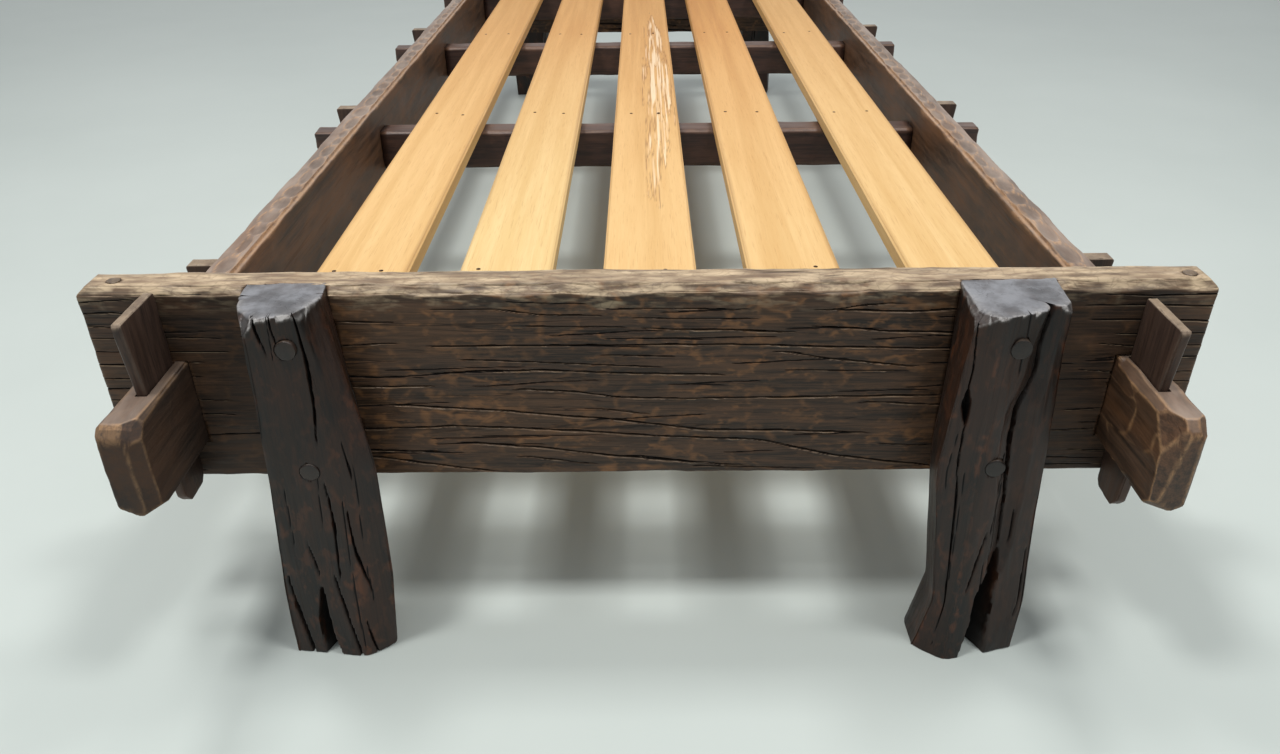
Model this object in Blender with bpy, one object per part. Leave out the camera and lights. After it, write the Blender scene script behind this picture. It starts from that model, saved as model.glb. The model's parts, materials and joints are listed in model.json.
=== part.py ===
"""Rustic single bed: two end boards, two side rails and four cross bearers held by wedged through tenons.

Metres, +Z up. X runs across the bed and Y along it, from the foot (-Y) to the head (+Y).
The origin is on the floor under the middle of the bed.
"""

import bmesh
import bpy
from mathutils import Matrix, Vector

# Lying space between the rails and between the end boards
INNER_WIDTH = 0.820
INNER_LENGTH = 1.970

# Gap left between pieces that touch
FIT_GAP = 0.0003

# End boards
BOARD_TOP = 0.367
BOARD_HEIGHT = 0.195
BOARD_THICKNESS = 0.036
BOARD_HORN = 0.0415  # board left beyond the outer face of each rail
BOARD_CHAMFER = 0.005

# Side rails and the tenons at their ends
RAIL_THICKNESS = 0.0345
RAIL_HEIGHT = 0.139
RAIL_DROP = 0.0433  # top of the rail below the top of the board
RAIL_CHAMFER = 0.006
TENON_TOP_SHOULDER = 0.0265
TENON_BOTTOM_SHOULDER = 0.0255
TENON_REACH = 0.108  # tenon past the outer face of the board
TENON_CHEEK = 0.001  # shoulder on each side of a tenon
TENON_TIP_CHAMFER = 0.012
TENON_CORNER_CHAMFER = 0.006

# Keys that wedge the rail tenons against the boards
RAIL_KEY_THICKNESS = 0.010
RAIL_KEY_TOP_WIDTH = 0.066
RAIL_KEY_TIP_WIDTH = 0.043
RAIL_KEY_RISE = 0.069  # key above the tenon
RAIL_KEY_TAIL = 0.040  # key below the tenon
RIGHT_KEY_SINK = 0.012  # the keys on the right are driven in deeper

# Legs, housed in the outer faces of the boards
LEG_INSET = 0.110  # middle of the leg in from the inner face of the rail
LEG_TOP_WIDTH = 0.080
LEG_FOOT_WIDTH = 0.104
LEG_HOUSING = 0.014
LEG_PROUD = 0.065  # leg past the outer face of the board
LEG_CHAMFER = 0.012

# Pegs that pin each leg to its board, and the pins in the horns of the boards
PEG_DIAMETER = 0.018
PEG_TOP_EDGE = 0.030  # upper peg below the top of the board
PEG_BOTTOM_EDGE = 0.045  # lower peg above the bottom of the board
PEG_PROUD = 0.0015
END_PIN_DIAMETER = 0.012
END_PIN_DEPTH = 0.120
END_PIN_PROUD = 0.001
ROUND_SIDES = 16

# Cross bearers
BEARER_COUNT = 4
BEARER_WIDTH = 0.046
BEARER_HEIGHT = 0.060
BEARER_DROP = 0.042  # top of the bearer below the top of the rail
BEARER_FOOT_MARGIN = 0.118  # foot board to the first bearer
BEARER_HEAD_MARGIN = 0.051  # last bearer to the head board
BEARER_CHEEK = 0.005  # shoulder on each side of a bearer's tenon
BEARER_TENON_DROP = 0.0015
BEARER_TENON_HEIGHT = 0.029
BEARER_TENON_REACH = 0.069  # tenon past the outer face of the rail

# Keys that wedge the bearer tenons against the rails
BEARER_KEY_THICKNESS = 0.018
BEARER_KEY_TOP_WIDTH = 0.033
BEARER_KEY_TIP_WIDTH = 0.023
BEARER_KEY_RISE = 0.034
BEARER_KEY_TAIL = 0.017

KEY_CORNER = 0.004  # corners cut off the top and the tip of every key
SLOT_RELIEF = 0.006  # a key's slot starts this far inside the face that the key bears on

# Slats
SLAT_COUNT = 5
SLAT_WIDTH = 0.097
SLAT_THICKNESS = 0.020
SLAT_LEFT_MARGIN = 0.063  # left rail to the first slat
SLAT_RIGHT_MARGIN = 0.046  # last slat to the right rail
LAST_SLAT_SHIFT = 0.016  # the last gap is wider than the others
SLAT_END_GAP = 0.008  # slat end to end board
SLAT_CHAMFER = 0.002

# How far a cutter runs past what it cuts
CUT_MARGIN = 0.010

# Levels and faces worked out from the sizes above
RAIL_INNER = INNER_WIDTH / 2
RAIL_OUTER = RAIL_INNER + RAIL_THICKNESS
RAIL_MIDDLE = RAIL_INNER + RAIL_THICKNESS / 2
BOARD_END = RAIL_OUTER + BOARD_HORN
BOARD_INNER = INNER_LENGTH / 2
BOARD_OUTER = BOARD_INNER + BOARD_THICKNESS
BOARD_BOTTOM = BOARD_TOP - BOARD_HEIGHT
RAIL_SHOULDER = BOARD_INNER - FIT_GAP
RAIL_TOP = BOARD_TOP - RAIL_DROP
RAIL_BOTTOM = RAIL_TOP - RAIL_HEIGHT
TENON_TOP = RAIL_TOP - TENON_TOP_SHOULDER
TENON_BOTTOM = RAIL_BOTTOM + TENON_BOTTOM_SHOULDER
TENON_TIP = BOARD_OUTER + TENON_REACH
LEG_MIDDLE = RAIL_INNER - LEG_INSET
LEG_FRONT = BOARD_OUTER + LEG_PROUD
LEG_BACK = BOARD_OUTER - LEG_HOUSING
BEARER_TOP = RAIL_TOP - BEARER_DROP
BEARER_TENON_TOP = BEARER_TOP - BEARER_TENON_DROP
BEARER_TENON_BOTTOM = BEARER_TENON_TOP - BEARER_TENON_HEIGHT
BEARER_TENON_WIDTH = BEARER_WIDTH - 2 * BEARER_CHEEK
BEARER_TIP = RAIL_OUTER + BEARER_TENON_REACH

ENDS = (("foot", -1), ("head", 1))
SIDES = (("left", -1), ("right", 1))
PEGS = (
    ("upper", BOARD_TOP - PEG_TOP_EDGE),
    ("lower", BOARD_BOTTOM + PEG_BOTTOM_EDGE),
)


def clear_scene():
    for obj in list(bpy.data.objects):
        bpy.data.objects.remove(obj)


def new_collection(name):
    collection = bpy.data.collections.new(name)
    bpy.context.scene.collection.children.link(collection)
    return collection


def new_material(name, colour, roughness, metallic=0.0):
    material = bpy.data.materials.new(name)
    material.use_nodes = True
    shader = material.node_tree.nodes["Principled BSDF"]
    shader.inputs["Base Color"].default_value = (*colour, 1.0)
    shader.inputs["Roughness"].default_value = roughness
    shader.inputs["Metallic"].default_value = metallic
    return material


clear_scene()
PARTS = new_collection("single_bed")
CUTTERS = new_collection("cutters")
MATERIALS = {
    "board": new_material("hewn_board", (0.075, 0.040, 0.022), 0.55),
    "leg": new_material("hewn_leg", (0.040, 0.024, 0.016), 0.45),
    "rail": new_material("hewn_rail", (0.110, 0.062, 0.036), 0.55),
    "key": new_material("smooth_key", (0.085, 0.048, 0.030), 0.50),
    "peg": new_material("peg_end_grain", (0.065, 0.042, 0.028), 0.60),
    "bearer": new_material("sawn_bearer", (0.080, 0.048, 0.038), 0.60),
    "slat": new_material("honey_slat", (0.640, 0.350, 0.140), 0.50),
}


def new_object(name, mesh, location=(0, 0, 0), material=None):
    """A part in its material, or a cutter where no material is given."""
    obj = bpy.data.objects.new(name, mesh)
    obj.location = location
    if material is None:
        obj.hide_render = True
        obj.display_type = "WIRE"
        CUTTERS.objects.link(obj)
    else:
        mesh.materials.append(MATERIALS[material])
        PARTS.objects.link(obj)
    return obj


def mesh_from(name, bm):
    mesh = bpy.data.meshes.new(name)
    bm.to_mesh(mesh)
    bm.free()
    return mesh


def every_edge(middle, direction):
    return True


def edge_line(edge):
    """The middle of an edge and its direction."""
    first, second = (vert.co for vert in edge.verts)
    return (first + second) / 2, (second - first).normalized()


def chamfer_edges(bm, width, wanted=every_edge):
    """Cuts off the edges that the test picks by their middle and their direction."""
    edges = [edge for edge in bm.edges if wanted(*edge_line(edge))]
    bmesh.ops.bevel(bm, geom=edges, offset=width, segments=1, affect="EDGES")


def box(name, low, high, material=None, chamfer=None):
    """A block between two corners, with its origin in its middle and the chamfered edges asked for."""
    low, high = Vector(low), Vector(high)
    bm = bmesh.new()
    bmesh.ops.create_cube(bm, size=1.0, matrix=Matrix.Diagonal((*(high - low), 1.0)))
    if chamfer:
        chamfer_edges(bm, *chamfer)
    return new_object(name, mesh_from(name, bm), (low + high) / 2, material)


def dowel(name, diameter, length, location, direction, material=None):
    """A round stick whose middle is at the location, along the given direction."""
    bm = bmesh.new()
    turn = Vector((0, 0, 1)).rotation_difference(Vector(direction)).to_matrix().to_4x4()
    bmesh.ops.create_cone(
        bm,
        cap_ends=True,
        segments=ROUND_SIDES,
        radius1=diameter / 2,
        radius2=diameter / 2,
        depth=length,
        matrix=turn,
    )
    mesh = mesh_from(name, bm)
    mesh.shade_smooth()
    mesh.set_sharp_from_angle(angle=0.7)
    return new_object(name, mesh, location, material)


def plate(name, outline, thickness, outward, location=(0, 0, 0), material=None, chamfer=None):
    """A flat outline of (outward, up) points made solid, its thickness square to both."""
    curve = bpy.data.curves.new(name, "CURVE")
    curve.dimensions = "2D"
    curve.fill_mode = "BOTH"
    curve.extrude = thickness / 2
    spline = curve.splines.new("POLY")
    spline.points.add(len(outline) - 1)
    for point, (u, v) in zip(spline.points, outline):
        point.co = (u, v, 0.0, 1.0)
    spline.use_cyclic_u = True
    drawn = bpy.data.objects.new(name, curve)
    PARTS.objects.link(drawn)
    graph = bpy.context.evaluated_depsgraph_get()
    flat = bpy.data.meshes.new_from_object(drawn.evaluated_get(graph))
    bpy.data.objects.remove(drawn)
    bpy.data.curves.remove(curve)

    bm = bmesh.new()
    bm.from_mesh(flat)
    bpy.data.meshes.remove(flat)
    bmesh.ops.remove_doubles(bm, verts=bm.verts[:], dist=0.00001)
    bmesh.ops.dissolve_limit(bm, angle_limit=0.001, verts=bm.verts[:], edges=bm.edges[:])
    across, up = Vector(outward), Vector((0, 0, 1))
    turn = Matrix((across, up, across.cross(up))).transposed().to_4x4()
    bmesh.ops.transform(bm, matrix=turn, verts=bm.verts[:])
    bmesh.ops.recalc_face_normals(bm, faces=bm.faces[:])
    if chamfer:
        chamfer_edges(bm, *chamfer)
    return new_object(name, mesh_from(name, bm), location, material)


def cut(obj, cutter, operation="DIFFERENCE"):
    modifier = obj.modifiers.new(cutter.name, "BOOLEAN")
    modifier.object = cutter
    modifier.operation = operation
    modifier.solver = "EXACT"


def ordered(first, second):
    return (min(first, second), max(first, second))


def leg_half_width(z):
    """Half the width of a leg at a height: legs widen towards the floor."""
    return (LEG_FOOT_WIDTH + (LEG_TOP_WIDTH - LEG_FOOT_WIDTH) * z / BOARD_TOP) / 2


def leg_block(name, end, middle, near, far, bottom, top, spare, material=None, chamfer=0.0):
    """A tapered block on one end board, from near to far off the middle of the bed.

    The block is the leg's own taper with a spare width on each side, so that it also cuts the housing.
    """

    def outer_arris(middle, direction):
        return middle.y * end > far - FIT_GAP and abs(direction.z) > 0.5

    bm = bmesh.new()
    bmesh.ops.create_cube(bm, size=2.0)
    for vert in bm.verts:
        z = top if vert.co.z > 0 else bottom
        y = far if vert.co.y * end > 0 else near
        vert.co = Vector((vert.co.x * (leg_half_width(z) + spare), end * y, z))
    if chamfer:
        chamfer_edges(bm, chamfer, outer_arris)
    return new_object(name, mesh_from(name, bm), (middle, 0, 0), material)


def wedge_outline(tip_width, top_width, length):
    """A key's outline: straight against what it bears on, tapering to its tip, corners cut off."""
    lean = (top_width - tip_width) / length
    return [
        (KEY_CORNER, 0.0),
        (tip_width - KEY_CORNER, 0.0),
        (tip_width + lean * KEY_CORNER, KEY_CORNER),
        (top_width - lean * KEY_CORNER, length - KEY_CORNER),
        (top_width - KEY_CORNER, length),
        (0.0, length),
        (0.0, KEY_CORNER),
    ]


def slot_outline(tip_width, top_width, length, low, high):
    """The outline of a key's slot between two heights on the key, clear of the key."""
    lean = (top_width - tip_width) / length
    return [
        (-SLOT_RELIEF, low),
        (tip_width + lean * low + FIT_GAP, low),
        (tip_width + lean * high + FIT_GAP, high),
        (-SLOT_RELIEF, high),
    ]


def make_end_board(end_name, end):
    near, far = ordered(end * BOARD_INNER, end * BOARD_OUTER)
    board = box(
        f"{end_name}_board",
        (-BOARD_END, near, BOARD_BOTTOM),
        (BOARD_END, far, BOARD_TOP),
        "board",
        (BOARD_CHAMFER,),
    )
    for side_name, side in SIDES:
        place = f"{side_name}_{end_name}"
        half = RAIL_THICKNESS / 2 - TENON_CHEEK + FIT_GAP
        mortise = box(
            f"{place}_mortise",
            (side * RAIL_MIDDLE - half, near - CUT_MARGIN, TENON_BOTTOM - FIT_GAP),
            (side * RAIL_MIDDLE + half, far + CUT_MARGIN, TENON_TOP + FIT_GAP),
        )
        housing = leg_block(
            f"{place}_housing",
            end,
            side * LEG_MIDDLE,
            LEG_BACK - FIT_GAP,
            BOARD_OUTER + CUT_MARGIN,
            BOARD_BOTTOM - CUT_MARGIN,
            BOARD_TOP + CUT_MARGIN,
            FIT_GAP,
        )
        cut(board, mortise)
        cut(board, housing)
        make_end_pin(board, place, end, side)
        make_leg(board, place, end, side)


def make_end_pin(board, place, end, side):
    """The pin let into the top of the board's horn, which keeps the short grain from splitting."""
    x = side * (RAIL_OUTER + BOARD_HORN / 2)
    y = end * (BOARD_INNER + BOARD_THICKNESS / 2)
    length = END_PIN_DEPTH + END_PIN_PROUD
    middle = BOARD_TOP + END_PIN_PROUD - length / 2
    hole_length = END_PIN_DEPTH + FIT_GAP + CUT_MARGIN
    hole_middle = BOARD_TOP + CUT_MARGIN - hole_length / 2
    hole_width = END_PIN_DIAMETER + 2 * FIT_GAP
    dowel(f"{place}_end_pin", END_PIN_DIAMETER, length, (x, y, middle), (0, 0, 1), "peg")
    cut(board, dowel(f"{place}_end_pin_hole", hole_width, hole_length, (x, y, hole_middle), (0, 0, 1)))


def make_leg(board, place, end, side):
    """A leg and the two pegs that run through it and through the board behind it."""
    x = side * LEG_MIDDLE
    leg = leg_block(
        f"{place}_leg", end, x, LEG_BACK, LEG_FRONT, 0.0, BOARD_TOP, 0.0, "leg", LEG_CHAMFER
    )
    length = LEG_FRONT + PEG_PROUD - BOARD_INNER
    y = end * (BOARD_INNER + length / 2)
    hole_length = LEG_FRONT - BOARD_INNER + 2 * CUT_MARGIN
    hole_y = end * (LEG_FRONT + BOARD_INNER) / 2
    hole_width = PEG_DIAMETER + 2 * FIT_GAP
    for level, z in PEGS:
        dowel(f"{place}_{level}_peg", PEG_DIAMETER, length, (x, y, z), (0, 1, 0), "peg")
        hole = dowel(f"{place}_{level}_peg_hole", hole_width, hole_length, (x, hole_y, z), (0, 1, 0))
        cut(leg, hole)
        cut(board, hole)


def tongue_outline():
    """The bar that shows as a rail's two tenons, seen from the side."""
    half = [
        (TENON_TIP - TENON_TIP_CHAMFER, TENON_BOTTOM),
        (TENON_TIP, TENON_BOTTOM + TENON_TIP_CHAMFER),
        (TENON_TIP, TENON_TOP - TENON_TIP_CHAMFER),
        (TENON_TIP - TENON_TIP_CHAMFER, TENON_TOP),
    ]
    return half + [(-y, z) for y, z in reversed(half)]


def upper_edge(middle, direction):
    return middle.z > 0 and abs(direction.y) > 0.9


def tip_corner(middle, direction):
    return abs(middle.y) > TENON_TIP - FIT_GAP and abs(direction.z) > 0.9


def make_rail(side_name, side):
    left, right = ordered(side * RAIL_INNER, side * RAIL_OUTER)
    rail = box(
        f"{side_name}_rail",
        (left, -RAIL_SHOULDER, RAIL_BOTTOM),
        (right, RAIL_SHOULDER, RAIL_TOP),
        "rail",
        (RAIL_CHAMFER, upper_edge),
    )
    tongue = plate(
        f"{side_name}_rail_tongue",
        tongue_outline(),
        RAIL_THICKNESS - 2 * TENON_CHEEK,
        (0, 1, 0),
        (side * RAIL_MIDDLE, 0, 0),
        chamfer=(TENON_CORNER_CHAMFER, tip_corner),
    )
    cut(rail, tongue, "UNION")
    for end_name, end in ENDS:
        make_rail_key(rail, f"{side_name}_{end_name}", end, side)
    for number, y in enumerate(bearer_places(), start=1):
        half = BEARER_TENON_WIDTH / 2 + FIT_GAP
        mortise = box(
            f"{side_name}_bearer_{number}_mortise",
            (left - CUT_MARGIN, y - half, BEARER_TENON_BOTTOM - FIT_GAP),
            (right + CUT_MARGIN, y + half, BEARER_TENON_TOP + FIT_GAP),
        )
        cut(rail, mortise)


def make_rail_key(rail, place, end, side):
    """The key that draws a rail's tenon out through the board, and its slot."""
    length = RAIL_KEY_RISE + TENON_TOP - TENON_BOTTOM + RAIL_KEY_TAIL
    tip = TENON_BOTTOM - RAIL_KEY_TAIL - (RIGHT_KEY_SINK if side > 0 else 0.0)
    foot = (side * RAIL_MIDDLE, end * (BOARD_OUTER + FIT_GAP), tip)
    outward = (0, end, 0)
    sizes = (RAIL_KEY_TIP_WIDTH, RAIL_KEY_TOP_WIDTH, length)
    plate(f"{place}_rail_key", wedge_outline(*sizes), RAIL_KEY_THICKNESS, outward, foot, "key")
    low = TENON_BOTTOM - CUT_MARGIN - tip
    high = TENON_TOP + CUT_MARGIN - tip
    slot_width = RAIL_KEY_THICKNESS + 2 * FIT_GAP
    cut(rail, plate(f"{place}_rail_key_slot", slot_outline(*sizes, low, high), slot_width, outward, foot))


def bearer_places():
    """The middle of each bearer along the bed, from the foot."""
    first = -BOARD_INNER + BEARER_FOOT_MARGIN + BEARER_WIDTH / 2
    last = BOARD_INNER - BEARER_HEAD_MARGIN - BEARER_WIDTH / 2
    pitch = (last - first) / (BEARER_COUNT - 1)
    return [first + pitch * i for i in range(BEARER_COUNT)]


def make_bearer(number, y):
    reach = RAIL_INNER - FIT_GAP
    bearer = box(
        f"bearer_{number}",
        (-reach, y - BEARER_WIDTH / 2, BEARER_TOP - BEARER_HEIGHT),
        (reach, y + BEARER_WIDTH / 2, BEARER_TOP),
        "bearer",
    )
    tongue = box(
        f"bearer_{number}_tongue",
        (-BEARER_TIP, y - BEARER_TENON_WIDTH / 2, BEARER_TENON_BOTTOM),
        (BEARER_TIP, y + BEARER_TENON_WIDTH / 2, BEARER_TENON_TOP),
    )
    cut(bearer, tongue, "UNION")
    for side_name, side in SIDES:
        make_bearer_key(bearer, f"{side_name}_bearer_{number}", side, y)


def make_bearer_key(bearer, place, side, y):
    """The key that draws a bearer's tenon out through the rail, and its slot."""
    length = BEARER_KEY_RISE + BEARER_TENON_HEIGHT + BEARER_KEY_TAIL
    tip = BEARER_TENON_BOTTOM - BEARER_KEY_TAIL
    foot = (side * (RAIL_OUTER + FIT_GAP), y, tip)
    outward = (side, 0, 0)
    sizes = (BEARER_KEY_TIP_WIDTH, BEARER_KEY_TOP_WIDTH, length)
    plate(f"{place}_key", wedge_outline(*sizes), BEARER_KEY_THICKNESS, outward, foot, "key")
    low = BEARER_TENON_BOTTOM - CUT_MARGIN - tip
    high = BEARER_TENON_TOP + CUT_MARGIN - tip
    slot_width = BEARER_KEY_THICKNESS + 2 * FIT_GAP
    cut(bearer, plate(f"{place}_key_slot", slot_outline(*sizes, low, high), slot_width, outward, foot))


def make_slats():
    free = INNER_WIDTH - SLAT_LEFT_MARGIN - SLAT_RIGHT_MARGIN - LAST_SLAT_SHIFT - SLAT_COUNT * SLAT_WIDTH
    gap = free / (SLAT_COUNT - 1)
    half_length = BOARD_INNER - SLAT_END_GAP
    bottom = BEARER_TOP + FIT_GAP
    for i in range(SLAT_COUNT):
        shift = LAST_SLAT_SHIFT if i == SLAT_COUNT - 1 else 0.0
        left = -RAIL_INNER + SLAT_LEFT_MARGIN + i * (SLAT_WIDTH + gap) + shift
        box(
            f"slat_{i + 1}",
            (left, -half_length, bottom),
            (left + SLAT_WIDTH, half_length, bottom + SLAT_THICKNESS),
            "slat",
            (SLAT_CHAMFER,),
        )


for end_name, end in ENDS:
    make_end_board(end_name, end)
for side_name, side in SIDES:
    make_rail(side_name, side)
for number, y in enumerate(bearer_places(), start=1):
    make_bearer(number, y)
make_slats()
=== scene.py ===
# %% [markdown]
# A hewn single bed, dressed
#
# The frame that is loaded here holds the bed's real construction: every board, rail, leg, bearer, slat,
# peg and wedge at its size and place. This lesson gives each of them the surface of old hand-hewn timber.
# Each piece is built as a fine mesh round its own solid, so that adze cuts, splits and worn edges are
# real geometry, and then gets a wood made of shader nodes.

# %% Load the frame
import json
import math

import bpy
import numpy as np
from mathutils import Matrix, Vector


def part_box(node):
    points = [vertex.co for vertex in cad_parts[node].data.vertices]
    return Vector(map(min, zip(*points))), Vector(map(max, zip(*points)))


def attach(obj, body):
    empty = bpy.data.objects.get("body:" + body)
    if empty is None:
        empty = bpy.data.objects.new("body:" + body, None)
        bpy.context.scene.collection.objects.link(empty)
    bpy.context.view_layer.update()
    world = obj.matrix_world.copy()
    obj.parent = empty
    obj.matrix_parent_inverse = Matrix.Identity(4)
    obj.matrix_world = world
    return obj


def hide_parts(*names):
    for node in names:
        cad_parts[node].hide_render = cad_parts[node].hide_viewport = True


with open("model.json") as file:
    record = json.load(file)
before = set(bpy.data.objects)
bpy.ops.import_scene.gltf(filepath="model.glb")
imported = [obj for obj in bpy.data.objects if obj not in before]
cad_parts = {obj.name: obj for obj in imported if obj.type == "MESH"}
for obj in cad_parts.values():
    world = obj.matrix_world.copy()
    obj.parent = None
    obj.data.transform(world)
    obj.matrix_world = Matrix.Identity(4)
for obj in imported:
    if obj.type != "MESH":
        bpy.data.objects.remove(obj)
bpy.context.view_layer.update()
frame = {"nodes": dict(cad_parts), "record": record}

# %% [markdown]
# The camera
#
# The photograph was taken close to the foot of the bed with a wide lens that looks down at about thirty
# degrees. Lines that run away from us shrink quickly, which is why the lens and the distance matter as
# much as the angle. A camera's matrix is made of its right, up and backward directions, so we work those
# out from three angles and keep the picture level except for the small tilt that the photograph has.

# %% Camera
CAMERA_PLACE = Vector((-0.0066, -1.7821, 0.7277))
LOOK_DOWN = math.radians(30.60)
LOOK_ASIDE = math.radians(-0.25)
TILT = math.radians(0.52)
LENS_MM = 27.79


def camera_matrix():
    """The camera's place and directions, from its three angles."""
    forward = Vector((
        math.sin(LOOK_ASIDE) * math.cos(LOOK_DOWN),
        math.cos(LOOK_ASIDE) * math.cos(LOOK_DOWN),
        -math.sin(LOOK_DOWN),
    ))
    level = Vector((math.cos(LOOK_ASIDE), -math.sin(LOOK_ASIDE), 0))
    down = forward.cross(level)
    right = math.cos(TILT) * level + math.sin(TILT) * down
    up = math.sin(TILT) * level - math.cos(TILT) * down
    turn = Matrix((right, up, -forward)).transposed().to_4x4()
    return Matrix.Translation(CAMERA_PLACE) @ turn


def put_in_scene(name, data):
    """A new object with the given data, linked to the scene."""
    thing = bpy.data.objects.new(name, data)
    scene.collection.objects.link(thing)
    return thing


scene = bpy.context.scene
camera = put_in_scene("camera", bpy.data.cameras.new("camera"))
camera.data.lens = LENS_MM
camera.matrix_world = camera_matrix()
scene.camera = camera
print("camera: lens", LENS_MM, "mm, height", round(CAMERA_PLACE.z, 3), "m")

# %% [markdown]
# Floor and light
#
# The bed stands on a plain pale floor under soft studio light. Six small square lamps hang overhead in
# three rows that grow weaker towards the head, the left ones a little stronger than the right ones.
# Together they throw the soft shadows under the slats and the rails. A wide weak panel behind the head
# end stands for a white wall, which gives the tops of the timbers their shine.

# %% Studio lights
def area_light(name, place, target, size, watts):
    """A rectangular soft light that points at a target."""
    light = bpy.data.lights.new(name, "AREA")
    light.shape = "RECTANGLE"
    light.size, light.size_y = size
    light.energy = watts
    lamp = put_in_scene(name, light)
    lamp.location = place
    lamp.rotation_euler = (Vector(target) - Vector(place)).to_track_quat("-Z", "Y").to_euler()


LAMP_HEIGHT, LAMP_SIDE = 3.0, 0.50
LAMP_ROWS = ((-1.5, 30), (-0.2, 18), (1.3, 2))  # place along the bed, watts
LAMP_SIDES = ((-0.95, 1.12), (0.95, 0.90))  # place across the bed, share of the watts
for x, share in LAMP_SIDES:
    for y, watts in LAMP_ROWS:
        area_light("ceiling_lamp", (x, y, LAMP_HEIGHT), (x, y, 0), (LAMP_SIDE, LAMP_SIDE), share * watts)
WALL_AWAY, WALL_HEIGHT, WALL_SIZE, WALL_WATTS = 6, 1.9, (10, 3.4), 60
area_light("white_wall", (0, WALL_AWAY, WALL_HEIGHT), (0, 0, WALL_HEIGHT), WALL_SIZE, WALL_WATTS)
SKY_COLOUR, SKY_STRENGTH = (0.92, 0.96, 1.0, 1), 0.40
world = bpy.data.worlds.new("studio")
world.use_nodes = True
sky = world.node_tree.nodes["Background"].inputs
sky["Color"].default_value = SKY_COLOUR
sky["Strength"].default_value = SKY_STRENGTH
scene.world = world
scene.view_settings.view_transform = "Standard"

# %% [markdown]
# Noise that we can measure
#
# Shader noise is only seen. Here we also need noise that moves points, so we write our own: a fixed
# random number for each point of a grid, blended smoothly between the grid points. Adze cuts use the same
# grid in another way. Each grid cell holds the middle of one cut, every point belongs to the nearest
# middle, and where two cuts meet a ridge is left standing.

# %% Noise helpers
MIX_I, MIX_J, MIX_SEED, MIX_AGAIN = 374761393, 668265263, 974634541, 1274126177  # large odd numbers
WORD, SHORT_WORD = 0xFFFFFFFF, 0xFFFFFF
CUT_BEND, CUT_SCATTER = 0.35, 0.4  # how crooked tool cuts are, and how far each strays from its cell's middle


def grid_random(i, j, seed):
    """A fixed random number from 0 to 1 for each whole-number grid point."""
    n = (i * MIX_I + j * MIX_J + seed * MIX_SEED) & WORD
    n = ((n ^ (n >> 13)) * MIX_AGAIN) & WORD
    return ((n ^ (n >> 16)) & SHORT_WORD) / SHORT_WORD


def noise(x, y, seed):
    """Smooth noise from -1 to 1 that changes over about one unit."""
    x, y = np.broadcast_arrays(np.asarray(x, float), np.asarray(y, float))
    i, j = np.floor(x).astype(np.int64), np.floor(y).astype(np.int64)
    a, b = x - i, y - j
    a, b = a * a * (3 - 2 * a), b * b * (3 - 2 * b)
    near = grid_random(i, j, seed) * (1 - a) + grid_random(i + 1, j, seed) * a
    far = grid_random(i, j + 1, seed) * (1 - a) + grid_random(i + 1, j + 1, seed) * a
    return 2 * (near * (1 - b) + far * b) - 1


def rough(x, y, seed, layers=3):
    """Noise with finer and weaker layers on top."""
    return sum(noise(x * 2**k, y * 2**k, seed + k) / 2**k for k in range(layers))


def adze_cuts(s, t, length, width, seed, line=0.22):
    """Hollows of tool cuts: 0 at a cut's middle to 1 far from it, and a mask of the ridges between cuts."""
    x, y = s / length, t / width
    bend_x, bend_y = noise(1.9 * x, 1.7 * y, seed + 31), noise(1.8 * x, 2.1 * y, seed + 37)
    x, y = x + CUT_BEND * bend_x, y + CUT_BEND * bend_y
    i0, j0 = np.floor(x).astype(np.int64), np.floor(y).astype(np.int64)
    first = np.full(x.shape, 9.0)
    second = np.full(x.shape, 9.0)
    for di in (-1, 0, 1):
        for dj in (-1, 0, 1):
            i, j = i0 + di, j0 + dj
            away_x = x - i - 0.5 - CUT_SCATTER * (2 * grid_random(i, j, seed) - 1)
            away_y = y - j - 0.5 - CUT_SCATTER * (2 * grid_random(i, j, seed + 7) - 1)
            away = away_x**2 + away_y**2
            second = np.minimum(second, np.maximum(first, away))
            first = np.minimum(first, away)
    ridge = np.clip(1 - (np.sqrt(second) - np.sqrt(first)) / line, 0, 1)
    return np.clip(first / 0.5, 0, 1), ridge


def knife_cuts(s, pitch, seed):
    """A row of cuts along an edge: 0 at each cut's ends to 1 in its middle, and a random size for each."""
    x = s / pitch + 0.5 * noise(0.6 * s / pitch, 0.5, seed)
    cut = np.floor(x).astype(np.int64)
    return 1 - (2 * (x - cut) - 1) ** 2, grid_random(cut, cut * 0, seed)


print("noise from", round(float(noise(np.arange(99) * 0.37, 0.0, 1).min()), 2))

# %% [markdown]
# A timber as a loft
#
# A piece of timber is a long run of cross sections. We place rings of points along the grain, each ring
# on the outline of the section there, and join ring to ring with four-sided faces. The ends are closed by
# smaller and smaller rings. Because every point knows its distance along the grain and its distance round
# the section, we can treat the whole surface as a flat sheet and carve it with formulas, which a modifier
# on a plain box could not do so freely.

# %% Rings of a timber
CAP_SCALES = (0.97, 0.90, 0.78, 0.60, 0.40, 0.20)
CAP_FADE = 9  # how fast the masks of the rim fade towards the middle of an end
CAP_ROUGH, CAP_GRAIN = 0.0003, 60  # how rough a sawn end is, and how close its bumps lie


def ring_layout(corners, spacing):
    """For each point of a ring: its side, its share along that side and its distance round the outline."""
    lengths = np.linalg.norm(np.roll(corners, -1, axis=0) - corners, axis=1)
    counts = np.maximum(2, np.round(lengths / np.asarray(spacing)).astype(int))
    starts = np.cumsum(lengths) - lengths
    side = np.repeat(np.arange(len(corners)), counts)
    share = np.concatenate([np.arange(n) / n for n in counts])
    return side, share, starts[side] + share * lengths[side], np.append(starts, lengths.sum())


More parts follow.
